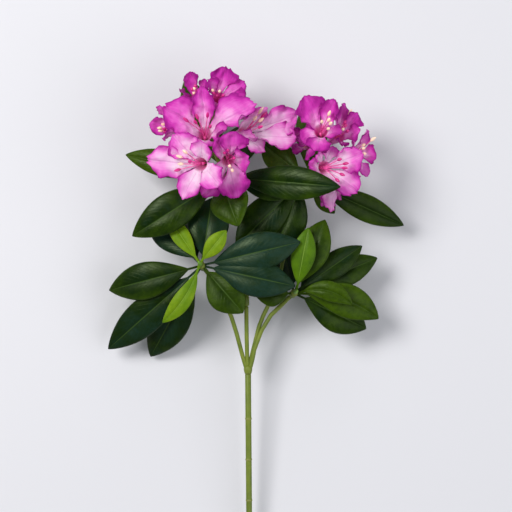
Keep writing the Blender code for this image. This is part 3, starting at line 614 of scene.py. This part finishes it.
def plain_material(name, low, high, roughness, scale=350.0, metallic=0.0):
    """A small part in one dye, with slight clouds in its colour and a fine grain."""
    g = Graph(name)
    place = g.place()
    cloud = g.speckle(place, scale, 3.0)
    g.set(Base_Color=g.ramp(cloud, [(0.3, low), (0.7, high)]))
    g.set(Normal=g.bump(g.speckle(place, scale * 4), 0.3, 0.0002))
    g.set(Roughness=roughness, Metallic=metallic)
    return g.material


class Solid:
    """A mesh gathered from blades, bars and turned parts. Each vertex has a tone from 0 to 1, and
    each face a finish, which is the place of its material."""

    def __init__(self):
        self.work = bmesh.new()
        self.uv = self.work.loops.layers.uv.new("blade")
        self.tone = self.work.verts.layers.float.new("tone")

    def vert(self, point, tone):
        made = self.work.verts.new(point * MM)
        made[self.tone] = tone
        return made

    def face(self, corners, places, finish):
        kept = []
        for corner, place in zip(corners, places):
            if all(corner is not other for other, _ in kept):
                kept.append((corner, place))
        if len(kept) < 3:
            return
        made = self.work.faces.new([corner for corner, _ in kept])
        made.smooth = True
        made.material_index = finish
        for loop, (_, place) in zip(made.loops, kept):
            loop[self.uv].uv = place

    def grid(self, rows, columns, point, tone=0.0, finish=0, share=lambda i: i):
        """A sheet of rows by columns faces, where point(i, j) is in millimetres."""
        verts = [[self.vert(point(i, j), tone) for j in range(columns + 1)] for i in range(rows + 1)]
        for i in range(rows):
            for j in range(columns):
                spots = ((i, j), (i + 1, j), (i + 1, j + 1), (i, j + 1))
                places = [(share(a), b / columns) for a, b in spots]
                self.face([verts[a][b] for a, b in spots], places, finish)

    def rings(self, circles, finish, capped=True):
        """A skin over circles given as (centre, side, other side, radius, tone)."""
        count = ROUND_SIDES
        verts = []
        for centre, side, other, radius, tone in circles:
            if radius == 0.0:
                verts.append([self.vert(centre, tone)] * count)
                continue
            turns = [math.tau * n / count for n in range(count)]
            spokes = [side * math.cos(turn) + other * math.sin(turn) for turn in turns]
            verts.append([self.vert(centre + spoke * radius, tone) for spoke in spokes])
        last = max(len(verts) - 1, 1)
        for i in range(len(verts) - 1):
            for n in range(count):
                spots = ((i, n), (i, n + 1), (i + 1, n + 1), (i + 1, n))
                places = [(a / last, b / count) for a, b in spots]
                self.face([verts[a][b % count] for a, b in spots], places, finish)
        if capped:
            for ring in (verts[0][::-1], verts[-1]):
                self.face(ring, [(0.0, 0.0)] * count, finish)

    def bar(self, points, radii, finish=0, tones=None):
        """A round bar through points, with a radius at each."""
        circles = []
        side = None
        for i, (point, radius) in enumerate(zip(points, radii)):
            ahead = points[min(i + 1, len(points) - 1)] - points[max(i - 1, 0)]
            ahead.normalize()
            side = ahead.orthogonal() if side is None else side
            side = (side - ahead * side.dot(ahead)).normalized()
            tone = tones[i] if tones else 0.0
            circles.append((point, side, ahead.cross(side), radius, tone))
        self.rings(circles, finish)

    def turned(self, profile, place, axis, finish=0):
        """A solid turned about axis from (radius, height, tone) points."""
        side = axis.orthogonal().normalized()
        other = axis.cross(side)
        circles = [(place + axis * h, side, other, r, tone) for r, h, tone in profile]
        self.rings(circles, finish, capped=profile[0][:2] != profile[-1][:2])

    def piece(self, name, finishes, node, thickness=0.0):
        """The gathered mesh as a piece. It stands for a node of the part, if one is given."""
        bmesh.ops.remove_doubles(self.work, verts=self.work.verts, dist=WELD_DISTANCE)
        mesh = bpy.data.meshes.new(name)
        self.work.to_mesh(mesh)
        self.work.free()
        made = bpy.data.objects.new(name, mesh)
        bpy.context.scene.collection.objects.link(made)
        for finish in finishes:
            mesh.materials.append(finish)
        if thickness:
            shell = made.modifiers.new("thickness", "SOLIDIFY")
            shell.thickness = thickness * MM
            shell.offset = 0.0
            shell.material_offset = 1
            shell.material_offset_rim = 0
        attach(made, "root")
        if node:
            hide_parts(node)


def smooth_route(knots, count):
    """Points on a Catmull-Rom curve through the knots, evenly spread between them."""
    ends = [knots[0] * 2 - knots[1], *knots, knots[-1] * 2 - knots[-2]]
    route = []
    spans = len(knots) - 1
    for step in range(count):
        place = step / (count - 1) * spans
        span = min(int(place), spans - 1)
        t = place - span
        a, b, c, d = ends[span : span + 4]
        square = 2 * a - 5 * b + 4 * c - d
        cube = 3 * b - a - 3 * c + d
        route.append(0.5 * (2 * b + (c - a) * t + square * t**2 + cube * t**3))
    return route


def leaf_outline(q):
    """Half the width of a blade at q along it, as a share of its widest."""
    return max(math.sin(math.pi * min(q, 1.0) ** 1.13), 0.0) ** 0.80


def leaf_place(blade, root, seed):
    """The function that gives a point of the blade's middle surface, as in the part, with a groove
    over the midrib and slight waves towards the edge."""
    chord = blade["tip"] - root
    along = chord.normalized()
    face = blade["face"]
    up = (face - along * face.dot(along)).normalized()
    side = up.cross(along)
    half_width = blade["width"] / 2

    def place(u, v):
        rise = 4 * u * (1 - u)
        spine = root + chord * u + up * (blade["arch"] * rise) + side * (blade["bend"] * rise)
        slope = 4 * (1 - 2 * u)
        tangent = (chord + up * (blade["arch"] * slope) + side * (blade["bend"] * slope)).normalized()
        across = up.cross(tangent).normalized()
        normal = tangent.cross(across)
        q = (u - PETIOLE_SHARE) / (1 - PETIOLE_SHARE)
        width = half_width * leaf_outline(q) if q > 0 else 0.0
        reach = max(width, PETIOLE_WIDTH / 2 * (1 - PETIOLE_TAPER * u))
        fold = width * (MIDRIB_FOLD * abs(v) - EDGE_DROOP * v * v)
        share = width / half_width
        groove = GROOVE_DEPTH * share * math.exp(-((v * width / GROOVE_WIDTH) ** 2))
        wave = LEAF_WAVE * share * abs(v) ** 2 * noise.noise(Vector((u * 7.0, v * 1.5, seed)))
        point = spine + across * (reach * v) + normal * (fold - groove + wave)
        point.z = max(point.z, LEAF_THICKNESS / 2)
        return point

    return place


def add_leaf(solid, blade, hub, hub_axis, hub_radius, seed):
    """A leaf whose stalk starts inside the hub's wall, on the side that faces its tip."""
    outward = blade["tip"] - hub
    height = outward.dot(hub_axis)
    outward -= hub_axis * height
    shift = max(min(height / 12, ROOT_SHIFT), -ROOT_SHIFT)
    root = hub + hub_axis * shift + outward.normalized() * (hub_radius - ROOT_DEPTH)
    place = leaf_place(blade, root, seed)
    solid.grid(
        LEAF_ROWS,
        LEAF_COLUMNS,
        lambda i, j: place(i / LEAF_ROWS, j / LEAF_COLUMNS * 2 - 1),
        blade["tone"],
        share=lambda i: i / LEAF_ROWS,
    )


def smooth_least(a, b, blend):
    """The smaller of two numbers, rounded where they cross."""
    h = max(blend - abs(a - b), 0.0) / blend
    return min(a, b) - h * h * blend / 4


def eased(share):
    """From 0 to 1 as share does, with a soft start and end."""
    x = min(max(share, 0.0), 1.0)
    return x * x * (3 - 2 * x)


def lobe_width(q):
    """Half the width of a lobe at q along it, as a share of its widest."""
    if q < WIDEST_AT:
        return LOBE_FOOT + (1 - LOBE_FOOT) * math.sin(math.pi / 2 * q / WIDEST_AT)
    fall = max(math.cos(math.pi / 2 * (q - WIDEST_AT) / (1 - WIDEST_AT)), 0.0)
    return LOBE_END + (1 - LOBE_END) * fall**0.7


def curve_point(ends, t):
    """A point at t from 0 to 1 on the cubic curve with these four control points."""
    a, b, c, d = ends
    u = 1 - t
    return a * u**3 + b * (3 * u * u * t) + c * (3 * u * t * t) + d * t**3


class Lobe:
    """One petal lobe with its strip of the tube, in the floret's own axes. Its strip of the tube is
    at start_at, and its tip at azimuth. rng draws what the part draws too, and ruffles the rest."""

    def __init__(self, even_start, azimuth, room, over, tip, width, rng, ruffles):
        self.start_at = even_start + (azimuth - even_start) * START_SHARE
        sector = math.pi / LOBES
        self.start_room = tuple(sector + (side - sector) * START_SHARE for side in room)
        self.azimuth = azimuth
        self.room = room
        self.over = over
        self.half_width = width / 2 * rng.uniform(0.96, 1.06)
        self.waves = rng.uniform(1.3, 1.9)
        self.phase = rng.uniform(0, math.tau)
        self.wave_height = rng.uniform(0.08, 0.14) * self.half_width
        mouth = Vector((THROAT_RADIUS, TUBE_LENGTH))
        slope = Vector((THROAT_RADIUS - TUBE_RADIUS, TUBE_LENGTH)).normalized()
        chord = tip - mouth
        turned = math.atan2(chord.x, chord.y) + math.radians(rng.uniform(16, 30))
        outward = Vector((math.sin(turned), math.cos(turned)))
        self.ends = (
            mouth,
            mouth + slope * (0.36 * chord.length),
            tip - outward * (0.34 * chord.length),
            tip,
        )
        self.length = chord.length
        self.ruffle_phase = ruffles.uniform(0, math.tau)
        self.ruffle_height = ruffles.uniform(0.14, 0.20) * self.half_width
        self.grain = ruffles.uniform(0, 50)

    def ruffle(self, q, v):
        """The small waves that grow towards the lobe's edge and tip, and the crumple of the cloth."""
        side = 1.0 if v > 0 else -1.0
        run = self.length * q
        drift = RUFFLE_DRIFT * noise.noise(Vector((run / CRUMPLE_LENGTH, side, self.grain)))
        turn = run / RUFFLE_LENGTH * math.tau
        wide = math.sin(turn + self.ruffle_phase * side + drift)
        fine = math.sin(turn * FINE_RUFFLES + self.ruffle_phase + drift * 2)
        edge = wide * abs(v) ** 2.6 + FINE_SHARE * fine * abs(v) ** 5
        tip = math.sin(math.tau * TIP_RUFFLES * v + self.ruffle_phase)
        tip *= max(q - TIP_FROM, 0.0) / (1 - TIP_FROM)
        reach = v * self.half_width
        crumple = noise.noise(Vector((run / CRUMPLE_LENGTH, reach / 6.0, self.grain)))
        dent = noise.noise(Vector((run / DENT_LENGTH, reach / 3.0, self.grain + 20)))
        waves = (edge + TIP_SHARE * tip) * self.ruffle_height
        return (waves + crumple * CRUMPLE_HEIGHT + dent * DENT_HEIGHT) * min(1.0, q * 2)

    def point(self, s, v):
        """s runs from -1 at the tube's base through 0 at the throat to 1 at the tip, v from -1 to 1
        across."""
        start_room = self.start_room[v > 0]
        side = 1.0 if v > 0 else -1.0
        if s <= 0:
            r = THROAT_RADIUS + (THROAT_RADIUS - TUBE_RADIUS) * s
            h = TUBE_LENGTH * (1 + s)
            angle = self.start_at + v * start_room
            return Vector((r * math.cos(angle), r * math.sin(angle), h))
        notch = (0.08 * noise.noise(Vector((v * 4.5, self.grain, 3.0))) - 0.02) * s * s
        q = min(max(s * (1 - 0.24 * abs(v) ** 1.9 * s) + notch, 0.0), 1.0)
        here, ahead = curve_point(self.ends, q), curve_point(self.ends, q + 0.01)
        r, h = here
        lean = math.atan2(ahead.x - r, ahead.y - h)
        turned = eased(q / TURNED_BY)
        middle = self.start_at + (self.azimuth - self.start_at) * turned
        room = start_room + (self.room[v > 0] - start_room) * turned
        room += OVERLAP * eased((q - 0.25) / 0.3)
        run = self.length * q / SCALLOP_LENGTH
        scallop = 1.0 + SCALLOP * noise.noise(Vector((run, self.grain, side * 4.0)))
        wanted = self.half_width * PETAL_SPREAD * lobe_width(q) * scallop
        reach = smooth_least(wanted, math.tan(min(room, 1.2)) * r, 4.0)
        broad = min(1.0, q / BROAD_FROM)
        reach = broad * reach + (1 - broad) * r * start_room
        curl = r + (OPEN_CURL - r) * min(1.0, q * 2.2)
        lateral = curl * math.sin(reach * v / curl)
        inward = curl * (1 - math.cos(reach * v / curl))
        wave = self.wave_height * min(1.0, q * 2) * abs(v) ** 1.6
        inward += wave * math.sin(math.tau * self.waves * q + self.phase * side)
        trough = TROUGH_DEPTH * math.exp(-((v / TROUGH_WIDTH) ** 2))
        inward -= trough * math.sin(math.pi * min(q * 1.1, 1.0))
        inward += self.ruffle(q, v)
        inward += self.over[v > 0] * OVERLAP_RISE * v * v * min(1.0, q / 0.3)
        r -= inward * math.cos(lean)
        h += inward * math.sin(lean)
        reach = math.hypot(lateral, r)
        limit = room - LOBE_GAP / reach
        angle = middle + min(max(math.atan2(lateral, r), -limit), limit)
        return Vector((reach * math.cos(angle), reach * math.sin(angle), h))


class Corolla:
    """A floret's lobes, and the way from its own axes to its place in space."""

    def __init__(self, bloom):
        self.axis = bloom["axis"]
        self.side = self.axis.orthogonal().normalized()
        self.other = self.axis.cross(self.side)
        self.base = bloom["throat"] - self.axis * TUBE_LENGTH
        rng = random.Random(bloom["seed"])
        ruffles = random.Random(bloom["seed"] + 200)
        tips = sorted((*self.polar(tip), width) for tip, width in bloom["lobes"])
        step = math.tau / LOBES
        turns = [tip[0] for tip in tips]
        first = sum(turn - step * n for n, turn in enumerate(turns)) / LOBES
        turns = [turns[-1] - math.tau, *turns, turns[0] + math.tau]
        leans = [math.atan2(r - THROAT_RADIUS, h - TUBE_LENGTH) for _, r, h, _ in tips]
        self.lobes = []
        for n, (turn, r, h, width) in enumerate(tips):
            room = ((turn - turns[n]) / 2, (turns[n + 2] - turn) / 2)
            before, after = leans[n - 1], leans[(n + 1) % LOBES]
            over = (1 if leans[n] < before else -1, 1 if leans[n] < after else -1)
            even_start = first + step * n
            self.lobes.append(Lobe(even_start, turn, room, over, Vector((r, h)), width, rng, ruffles))

    def polar(self, tip):
        away = tip - self.base
        across, up = away.dot(self.side), away.dot(self.other)
        return math.atan2(up, across), math.hypot(across, up), away.dot(self.axis)

    def placed(self, local):
        return self.base + self.side * local.x + self.other * local.y + self.axis * local.z


def cell_centre(bloom):
    """The middle of the room that a floret takes up."""
    reach = sum((tip - bloom["throat"]).length for tip, _ in bloom["lobes"]) / LOBES
    return bloom["throat"] + bloom["axis"] * (CELL_REACH * reach)


def softly_at_least(distance, least, softness):
    """distance where it is well over least, and never under least."""
    if distance >= least + softness:
        return distance
    return least + softness * math.exp((distance - least - softness) / softness)


def walls_around(bloom, blooms):
    """The planes between a floret and the others, and the surface below, with their normals."""
    own = cell_centre(bloom)
    walls = []
    for other in blooms:
        if other is not bloom:
            middle = cell_centre(other)
            gap = own - middle
            normal = Vector((gap.x, gap.y, gap.z * CELL_FLATNESS**2)).normalized()
            walls.append(((own + middle) / 2, normal))
    walls.append((Vector((0.0, 0.0, FLOOR_MARGIN)), Vector((0.0, 0.0, 1.0))))
    return walls


def kept_in_cell(point, walls, axis, margin, turn_up):
    """The point kept on its own side of the walls: what would cross one turns up along the axis."""
    for turning in (turn_up, turn_up / 2, 0.0, 0.0):
        for place, normal in walls:
            distance = (point - place).dot(normal)
            push = softly_at_least(distance, margin, CELL_SOFTNESS) - distance
            upward = axis - normal * axis.dot(normal)
            point = point + normal * push + upward * (push * turning)
    return point


def add_corolla(name, bloom, walls, finishes, node):
    """The tube and lobes of a floret, kept in its own room among the others."""
    corolla = Corolla(bloom)
    solid = Solid()
    for lobe in corolla.lobes:

        def place(i, j):
            s = i / TUBE_ROWS - 1 if i <= TUBE_ROWS else (i - TUBE_ROWS) / LOBE_ROWS
            point = corolla.placed(lobe.point(s, j / LOBE_COLUMNS * 2 - 1))
            return kept_in_cell(point, walls, corolla.axis, CELL_MARGIN, TURN_UP) if s > 0 else point

        def share(i):
            if i <= TUBE_ROWS:
                return i / TUBE_ROWS * TUBE_SHARE
            return TUBE_SHARE + (1 - TUBE_SHARE) * (i - TUBE_ROWS) / LOBE_ROWS

        solid.grid(TUBE_ROWS + LOBE_ROWS, LOBE_COLUMNS, place, bloom["depth"], share=share)
    solid.piece(name, finishes, node, PETAL_THICKNESS)


def add_stamens(name, bloom, walls, finishes, node):
    """A plug in the tube's mouth with its filaments and anthers."""
    axis, throat = bloom["axis"], bloom["throat"]
    base = throat - axis * TUBE_LENGTH
    plug = TUBE_LENGTH - 3.0
    solid = Solid()
    profile = [
        (0.0, plug, 0),
        (1.6, plug - 1.0, 0),
        (PLUG_RADIUS, 3.0, 0),
        (PLUG_RADIUS, 0.0, 0),
        (0.0, 0.0, 0),
    ]
    solid.turned(profile, base, axis)
    for tip, cream in bloom["stamens"]:
        start = throat - axis * 5.0
        start += (tip - start - axis * (tip - start).dot(axis)).normalized() * 0.75
        length = (tip - start).length
        ends = (start, start + axis * (0.35 * length), tip - (tip - start) * 0.3, tip)

        def spot(share):
            point = curve_point(ends, share)
            if (point - throat).dot(axis) > 3.0:
                point = kept_in_cell(point, walls, axis, STAMEN_MARGIN, 0.0)
            return point

        filament = [spot(FILAMENT_END * n / (FILAMENT_POINTS - 1)) for n in range(FILAMENT_POINTS)]
        solid.bar(filament, [FILAMENT_RADIUS * (1.1 - 0.025 * n) for n in range(FILAMENT_POINTS)], 0)
        last = len(ANTHER_BULGE) - 1
        anther = [spot(ANTHER_START + (1 - ANTHER_START) * n / last) for n in range(last + 1)]
        solid.bar(anther, [FILAMENT_RADIUS * bulge for bulge in ANTHER_BULGE], 1 + cream)
    solid.piece(name, finishes, node)


def arm_profile(route):
    """The route of an arm and its radii, with a thinner pin at its end."""
    end = route[-1]
    back = (route[-2] - end).normalized()
    shoulder = end + back * ARM_PIN_LENGTH
    kept = [p for p in route if (p - end).length > ARM_PIN_LENGTH + 2.0]
    points = [*kept, shoulder, shoulder - back * 0.2, end]
    radii = [ARM_RADIUS] * (len(kept) + 1) + [ARM_PIN_RADIUS] * 2
    return points, radii


def sleeve_profile(outer):
    """Down the outer side of a sleeve with a rounded top."""
    depth = ARM_PIN_LENGTH - 2 * FIT_GAP
    return [
        (0.0, SLEEVE_CAP, 0.3),
        (outer * 0.5, SLEEVE_CAP - 0.1, 0.3),
        (outer * 0.85, SLEEVE_CAP - 0.5, 0.2),
        (outer, SLEEVE_CAP - 1.3, 0.0),
        (outer, 0.0, 0.0),
        (outer, -depth + 0.3, 0.0),
        (outer - 0.3, -depth, 0.5),
        (0.0, -depth, 0.5),
    ]


def add_stem(finish):
    """The sheath round the wire, with its leaf-scar rings."""
    axis = (JUNCTION - CUT_END).normalized()
    length = (JUNCTION - CUT_END).length
    profile = [(BORE_RADIUS, 0.0, 0.0), (STEM_RADIUS - 0.25, 0.0, 0.4), (STEM_RADIUS, -0.4, 0.0)]
    for number in range(SCARS):
        height = -(FIRST_SCAR_BELOW_FORK + SCAR_SPACING * number)
        profile += [(STEM_RADIUS + rise, height + up, tone) for up, rise, tone in SCAR_SHAPE]
        profile += [(STEM_RADIUS - 0.08, height - 1.0, 0.5), (STEM_RADIUS, height - 2.0, 0.0)]
    profile += [
        (STEM_RADIUS, -length + 0.2, 0.0),
        (STEM_RADIUS - 0.2, -length, 0.6),
        (BORE_RADIUS, -length, 0.6),
        (BORE_RADIUS, 0.0, 0.0),
    ]
    solid = Solid()
    solid.turned(profile, JUNCTION, axis)
    solid.piece("stem_sheath", [finish], "main_stem")


def add_fork(routes, finish):
    """The plug on top of the stem, and an arm along each route."""
    axis = (JUNCTION - CUT_END).normalized()
    solid = Solid()
    profile = [
        (0.0, 9.0, 0.0),
        (2.4, 8.7, 0.0),
        (3.4, 8.0, 0.0),
        (4.1, 6.5, 0.1),
        (4.4, 5.0, 0.2),
        (4.2, 3.0, 0.1),
        (3.7, 1.2, 0.2),
        (STEM_RADIUS + 0.3, 0.0, 0.7),
        (WIRE_RADIUS, 0.0, 0.7),
        (WIRE_RADIUS, -FORK_PIN_LENGTH, 0.0),
        (0.0, -FORK_PIN_LENGTH, 0.0),
    ]
    solid.turned(profile, JUNCTION + axis * FIT_GAP, axis)
    for route in routes.values():
        solid.bar(*arm_profile(route))
    solid.piece("fork_moulding", [finish], "fork")


def socket_place(route):
    """The place and direction of what sits on an arm's pin."""
    direction = (route[-1] - route[-2]).normalized()
    return route[-1] + direction * FIT_GAP, direction


def add_pedicel(solid, bloom, low, high):
    """The stalklet from the stalk's end, between low and high, to the cup under a floret."""
    run = high - low
    axis = bloom["axis"]
    base = bloom["throat"] - axis * TUBE_LENGTH
    seat = base - axis * FIT_GAP
    share = (base - low).dot(run) / run.length_squared - 0.25
    origin = low.lerp(high, min(max(share, 0.05), 0.95))
    neck = seat - axis * NECK_LENGTH
    knots = [origin, origin.lerp(neck, 0.55) + axis * 0.5, neck, seat - axis * 1.4, seat]
    radii = [PEDICEL_RADIUS] * 7 + [1.15, 1.3, 1.7, 2.1, 2.5, CALYX_RADIUS]
    tones = [0.0] * 8 + [0.1, 0.2, 0.4, 0.6, 0.8]
    solid.bar(smooth_route(knots, PEDICEL_POINTS), radii, tones=tones)


def add_head(head, arm, looks, blooms):
    """A flower stalk on its arm, with its collar of leaves and its florets."""
    side = head["name"]
    solid = Solid()
    place, direction = socket_place(arm)
    solid.turned(sleeve_profile(SLEEVE_RADIUS), place, direction)
    start = place + direction * SLEEVE_CAP
    knots = [start - direction * 2.0, *map(Vector, head["knots"]), head["collar"], *head["rachis"]]
    route = smooth_route(knots, STALK_POINTS)
    solid.bar(route, [STALK_RADIUS] * (STALK_POINTS - 2) + [2.2, 1.5])
    for bloom in head["florets"]:
        add_pedicel(solid, bloom, *head["rachis"])
    solid.piece(side + "_stalks", [looks["stem"]], side + "_flower_stalk")
    near = min(range(len(route)), key=lambda i: (route[i] - head["collar"]).length)
    axis = (route[near + 1] - route[near - 1]).normalized()
    ring = Solid()
    half = COLLAR_LENGTH / 2
    inner = STALK_RADIUS + 1.0
    profile = [
        (inner, half, 0.3),
        (COLLAR_RADIUS * 0.85, half, 0.3),
        (COLLAR_RADIUS, half - 1.0, 0.1),
        (COLLAR_RADIUS, -half, 0.0),
        (inner, -half, 0.3),
        (inner, half, 0.3),
    ]
    ring.turned(profile, head["collar"], axis)
    ring.piece(side + "_collar_ring", [looks["stem"]], None)
    collar = Solid()
    for number, blade in enumerate(head["leaves"]):
        add_leaf(collar, blade, head["collar"], axis, COLLAR_RADIUS, number)
    collar.piece(side + "_collar", looks["leaf"], side + "_collar_leaves", LEAF_THICKNESS)
    for number, bloom in enumerate(head["florets"], 1):
        walls = walls_around(bloom, blooms)
        name = f"{side}_petals_{number}"
        add_corolla(name, bloom, walls, looks["petal"], f"{side}_floret_{number}")
        name = f"{side}_filaments_{number}"
        add_stamens(name, bloom, walls, looks["stamen"], f"{side}_stamens_{number}")


def add_whorl(side, arm, leaves, young, looks):
    """A hub on its arm with its grown leaves, and on it a bud with the young leaves."""
    place, direction = socket_place(arm)
    hub = Solid()
    hub.turned(sleeve_profile(HUB_RADIUS), place, direction)
    hub.piece(side + "_hub", [looks["stem"]], None)
    start = place + direction * SLEEVE_CAP
    whorl = Solid()
    for number, blade in enumerate(leaves):
        add_leaf(whorl, blade, start - direction * 3.0, direction, HUB_RADIUS, number + 20)
    whorl.piece(side + "_whorl", looks["leaf"], side + "_whorl_leaves", LEAF_THICKNESS)
    bud = Solid()
    bud.turned([(*spot, 0) for spot in BUD_PROFILE], start + direction * 2 * FIT_GAP, direction)
    bud.piece(side + "_bud", [looks["bud"]], None)
    shoot = Solid()
    for number, blade in enumerate(young):
        add_leaf(shoot, blade, start + direction * 4.0, direction, BUD_RADIUS, number + 40)
    shoot.piece(side + "_shoot", looks["young"], side + "_young_shoot", LEAF_THICKNESS)


def add_floor():
    mesh = bpy.data.meshes.new("floor")
    signs = ((-1, -1), (1, -1), (1, 1), (-1, 1))
    corners = [(x * FLOOR_HALF_WIDTH, y * FLOOR_HALF_WIDTH, 0) for x, y in signs]
    mesh.from_pydata(corners, [], [(0, 1, 2, 3)])
    floor = bpy.data.objects.new("floor", mesh)
    bpy.context.scene.collection.objects.link(floor)
    g = Graph("pale_floor")
    g.set(Base_Color=(0.61, 0.61, 0.64, 1.0), Roughness=0.9, Specular_IOR_Level=0.1)
    mesh.materials.append(g.material)


def add_light(name, place, size, power, colour):
    """A square lamp at place, aimed at the spray."""
    data = bpy.data.lights.new(name, "AREA")
    data.size = size
    data.energy = power
    data.color = colour
    lamp = bpy.data.objects.new(name, data)
    lamp.location = place
    lamp.rotation_mode = "QUATERNION"
    lamp.rotation_quaternion = (LIGHT_TARGET - Vector(place)).to_track_quat("-Z", "Y")
    bpy.context.scene.collection.objects.link(lamp)


def add_stage():
    """The floor, the lamps, and the even light of the room."""
    add_floor()
    for light in LIGHTS:
        add_light(*light)
    world = bpy.data.worlds.new("studio")
    bpy.context.scene.world = world
    world.use_nodes = True
    back = world.node_tree.nodes["Background"]
    back.inputs["Color"].default_value = WORLD_COLOUR
    back.inputs["Strength"].default_value = WORLD_STRENGTH


def add_camera():
    """Straight down on the spray, with the frame 512 mm wide at the height of its middle."""
    data = bpy.data.cameras.new("camera")
    data.lens = data.sensor_width * (CAMERA_HEIGHT - FRAME_HEIGHT) / FRAME_WIDTH
    camera = bpy.data.objects.new("camera", data)
    camera.location = Vector((*EYE, CAMERA_HEIGHT)) * MM
    bpy.context.scene.collection.objects.link(camera)
    bpy.context.scene.camera = camera


def made_looks():
    """The materials, by what they are for."""
    dark = [(0.0, (0.008, 0.026, 0.018)), (0.40, (0.004, 0.014, 0.0008)), (1.0, (0.036, 0.072, 0.001))]
    fresh = [(0.0, (0.025, 0.070, 0.002)), (0.5, (0.072, 0.155, 0.003)), (1.0, (0.165, 0.26, 0.007))]
    return {
        "stem": stem_material("moulded_green_look"),
        "leaf": [
            leaf_material("grown_leaf_top", dark, (0.050, 0.095, 0.018, 1.0), (0.26, 0.44)),
            leaf_back_material("grown_leaf_back", (0.045, 0.105, 0.03, 1.0), (0.12, 0.20, 0.07, 1.0)),
        ],
        "young": [
            leaf_material("young_leaf_top", fresh, (0.24, 0.36, 0.06, 1.0), (0.36, 0.5)),
            leaf_back_material("young_leaf_back", (0.14, 0.28, 0.05, 1.0), (0.30, 0.45, 0.12, 1.0)),
        ],
        "bud": plain_material("young_bud", (0.10, 0.24, 0.02), (0.20, 0.38, 0.04), 0.5),
        "petal": [petal_material("petal_inside", True), petal_material("petal_outside", False)],
        "stamen": [
            plain_material("filament", (0.66, 0.04, 0.28), (0.84, 0.15, 0.42), 0.45),
            plain_material("anther_pink", (0.50, 0.008, 0.16), (0.68, 0.02, 0.26), 0.4),
            plain_material("anther_cream", (0.90, 0.55, 0.38), (0.98, 0.80, 0.60), 0.5),
        ],
    }


def main():
    looks = made_looks()
    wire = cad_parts["main_wire"]
    wire.data.materials.clear()
    steel = plain_material("steel_wire_look", (0.35, 0.35, 0.36), (0.55, 0.55, 0.56), 0.35, 800.0, 1.0)
    wire.data.materials.append(steel)
    start = JUNCTION + Vector((0.0, 3.0, 0.3))
    arms = {}
    for arm, spots in ARM_KNOTS.items():
        arms[arm] = smooth_route([start, *map(Vector, spots)], ARM_POINTS)
    add_stem(looks["stem"])
    add_fork(arms, looks["stem"])
    blooms = LEFT_HEAD["florets"] + RIGHT_HEAD["florets"]
    add_head(LEFT_HEAD, arms["centre"], looks, blooms)
    add_head(RIGHT_HEAD, arms["right"], looks, blooms)
    add_whorl("left", arms["left"], LEFT_WHORL, LEFT_SHOOT, looks)
    add_whorl("right", arms["low_right"], RIGHT_WHORL, RIGHT_SHOOT, looks)
    add_stage()
    add_camera()
    bpy.context.scene.view_settings.view_transform = "Standard"


main()
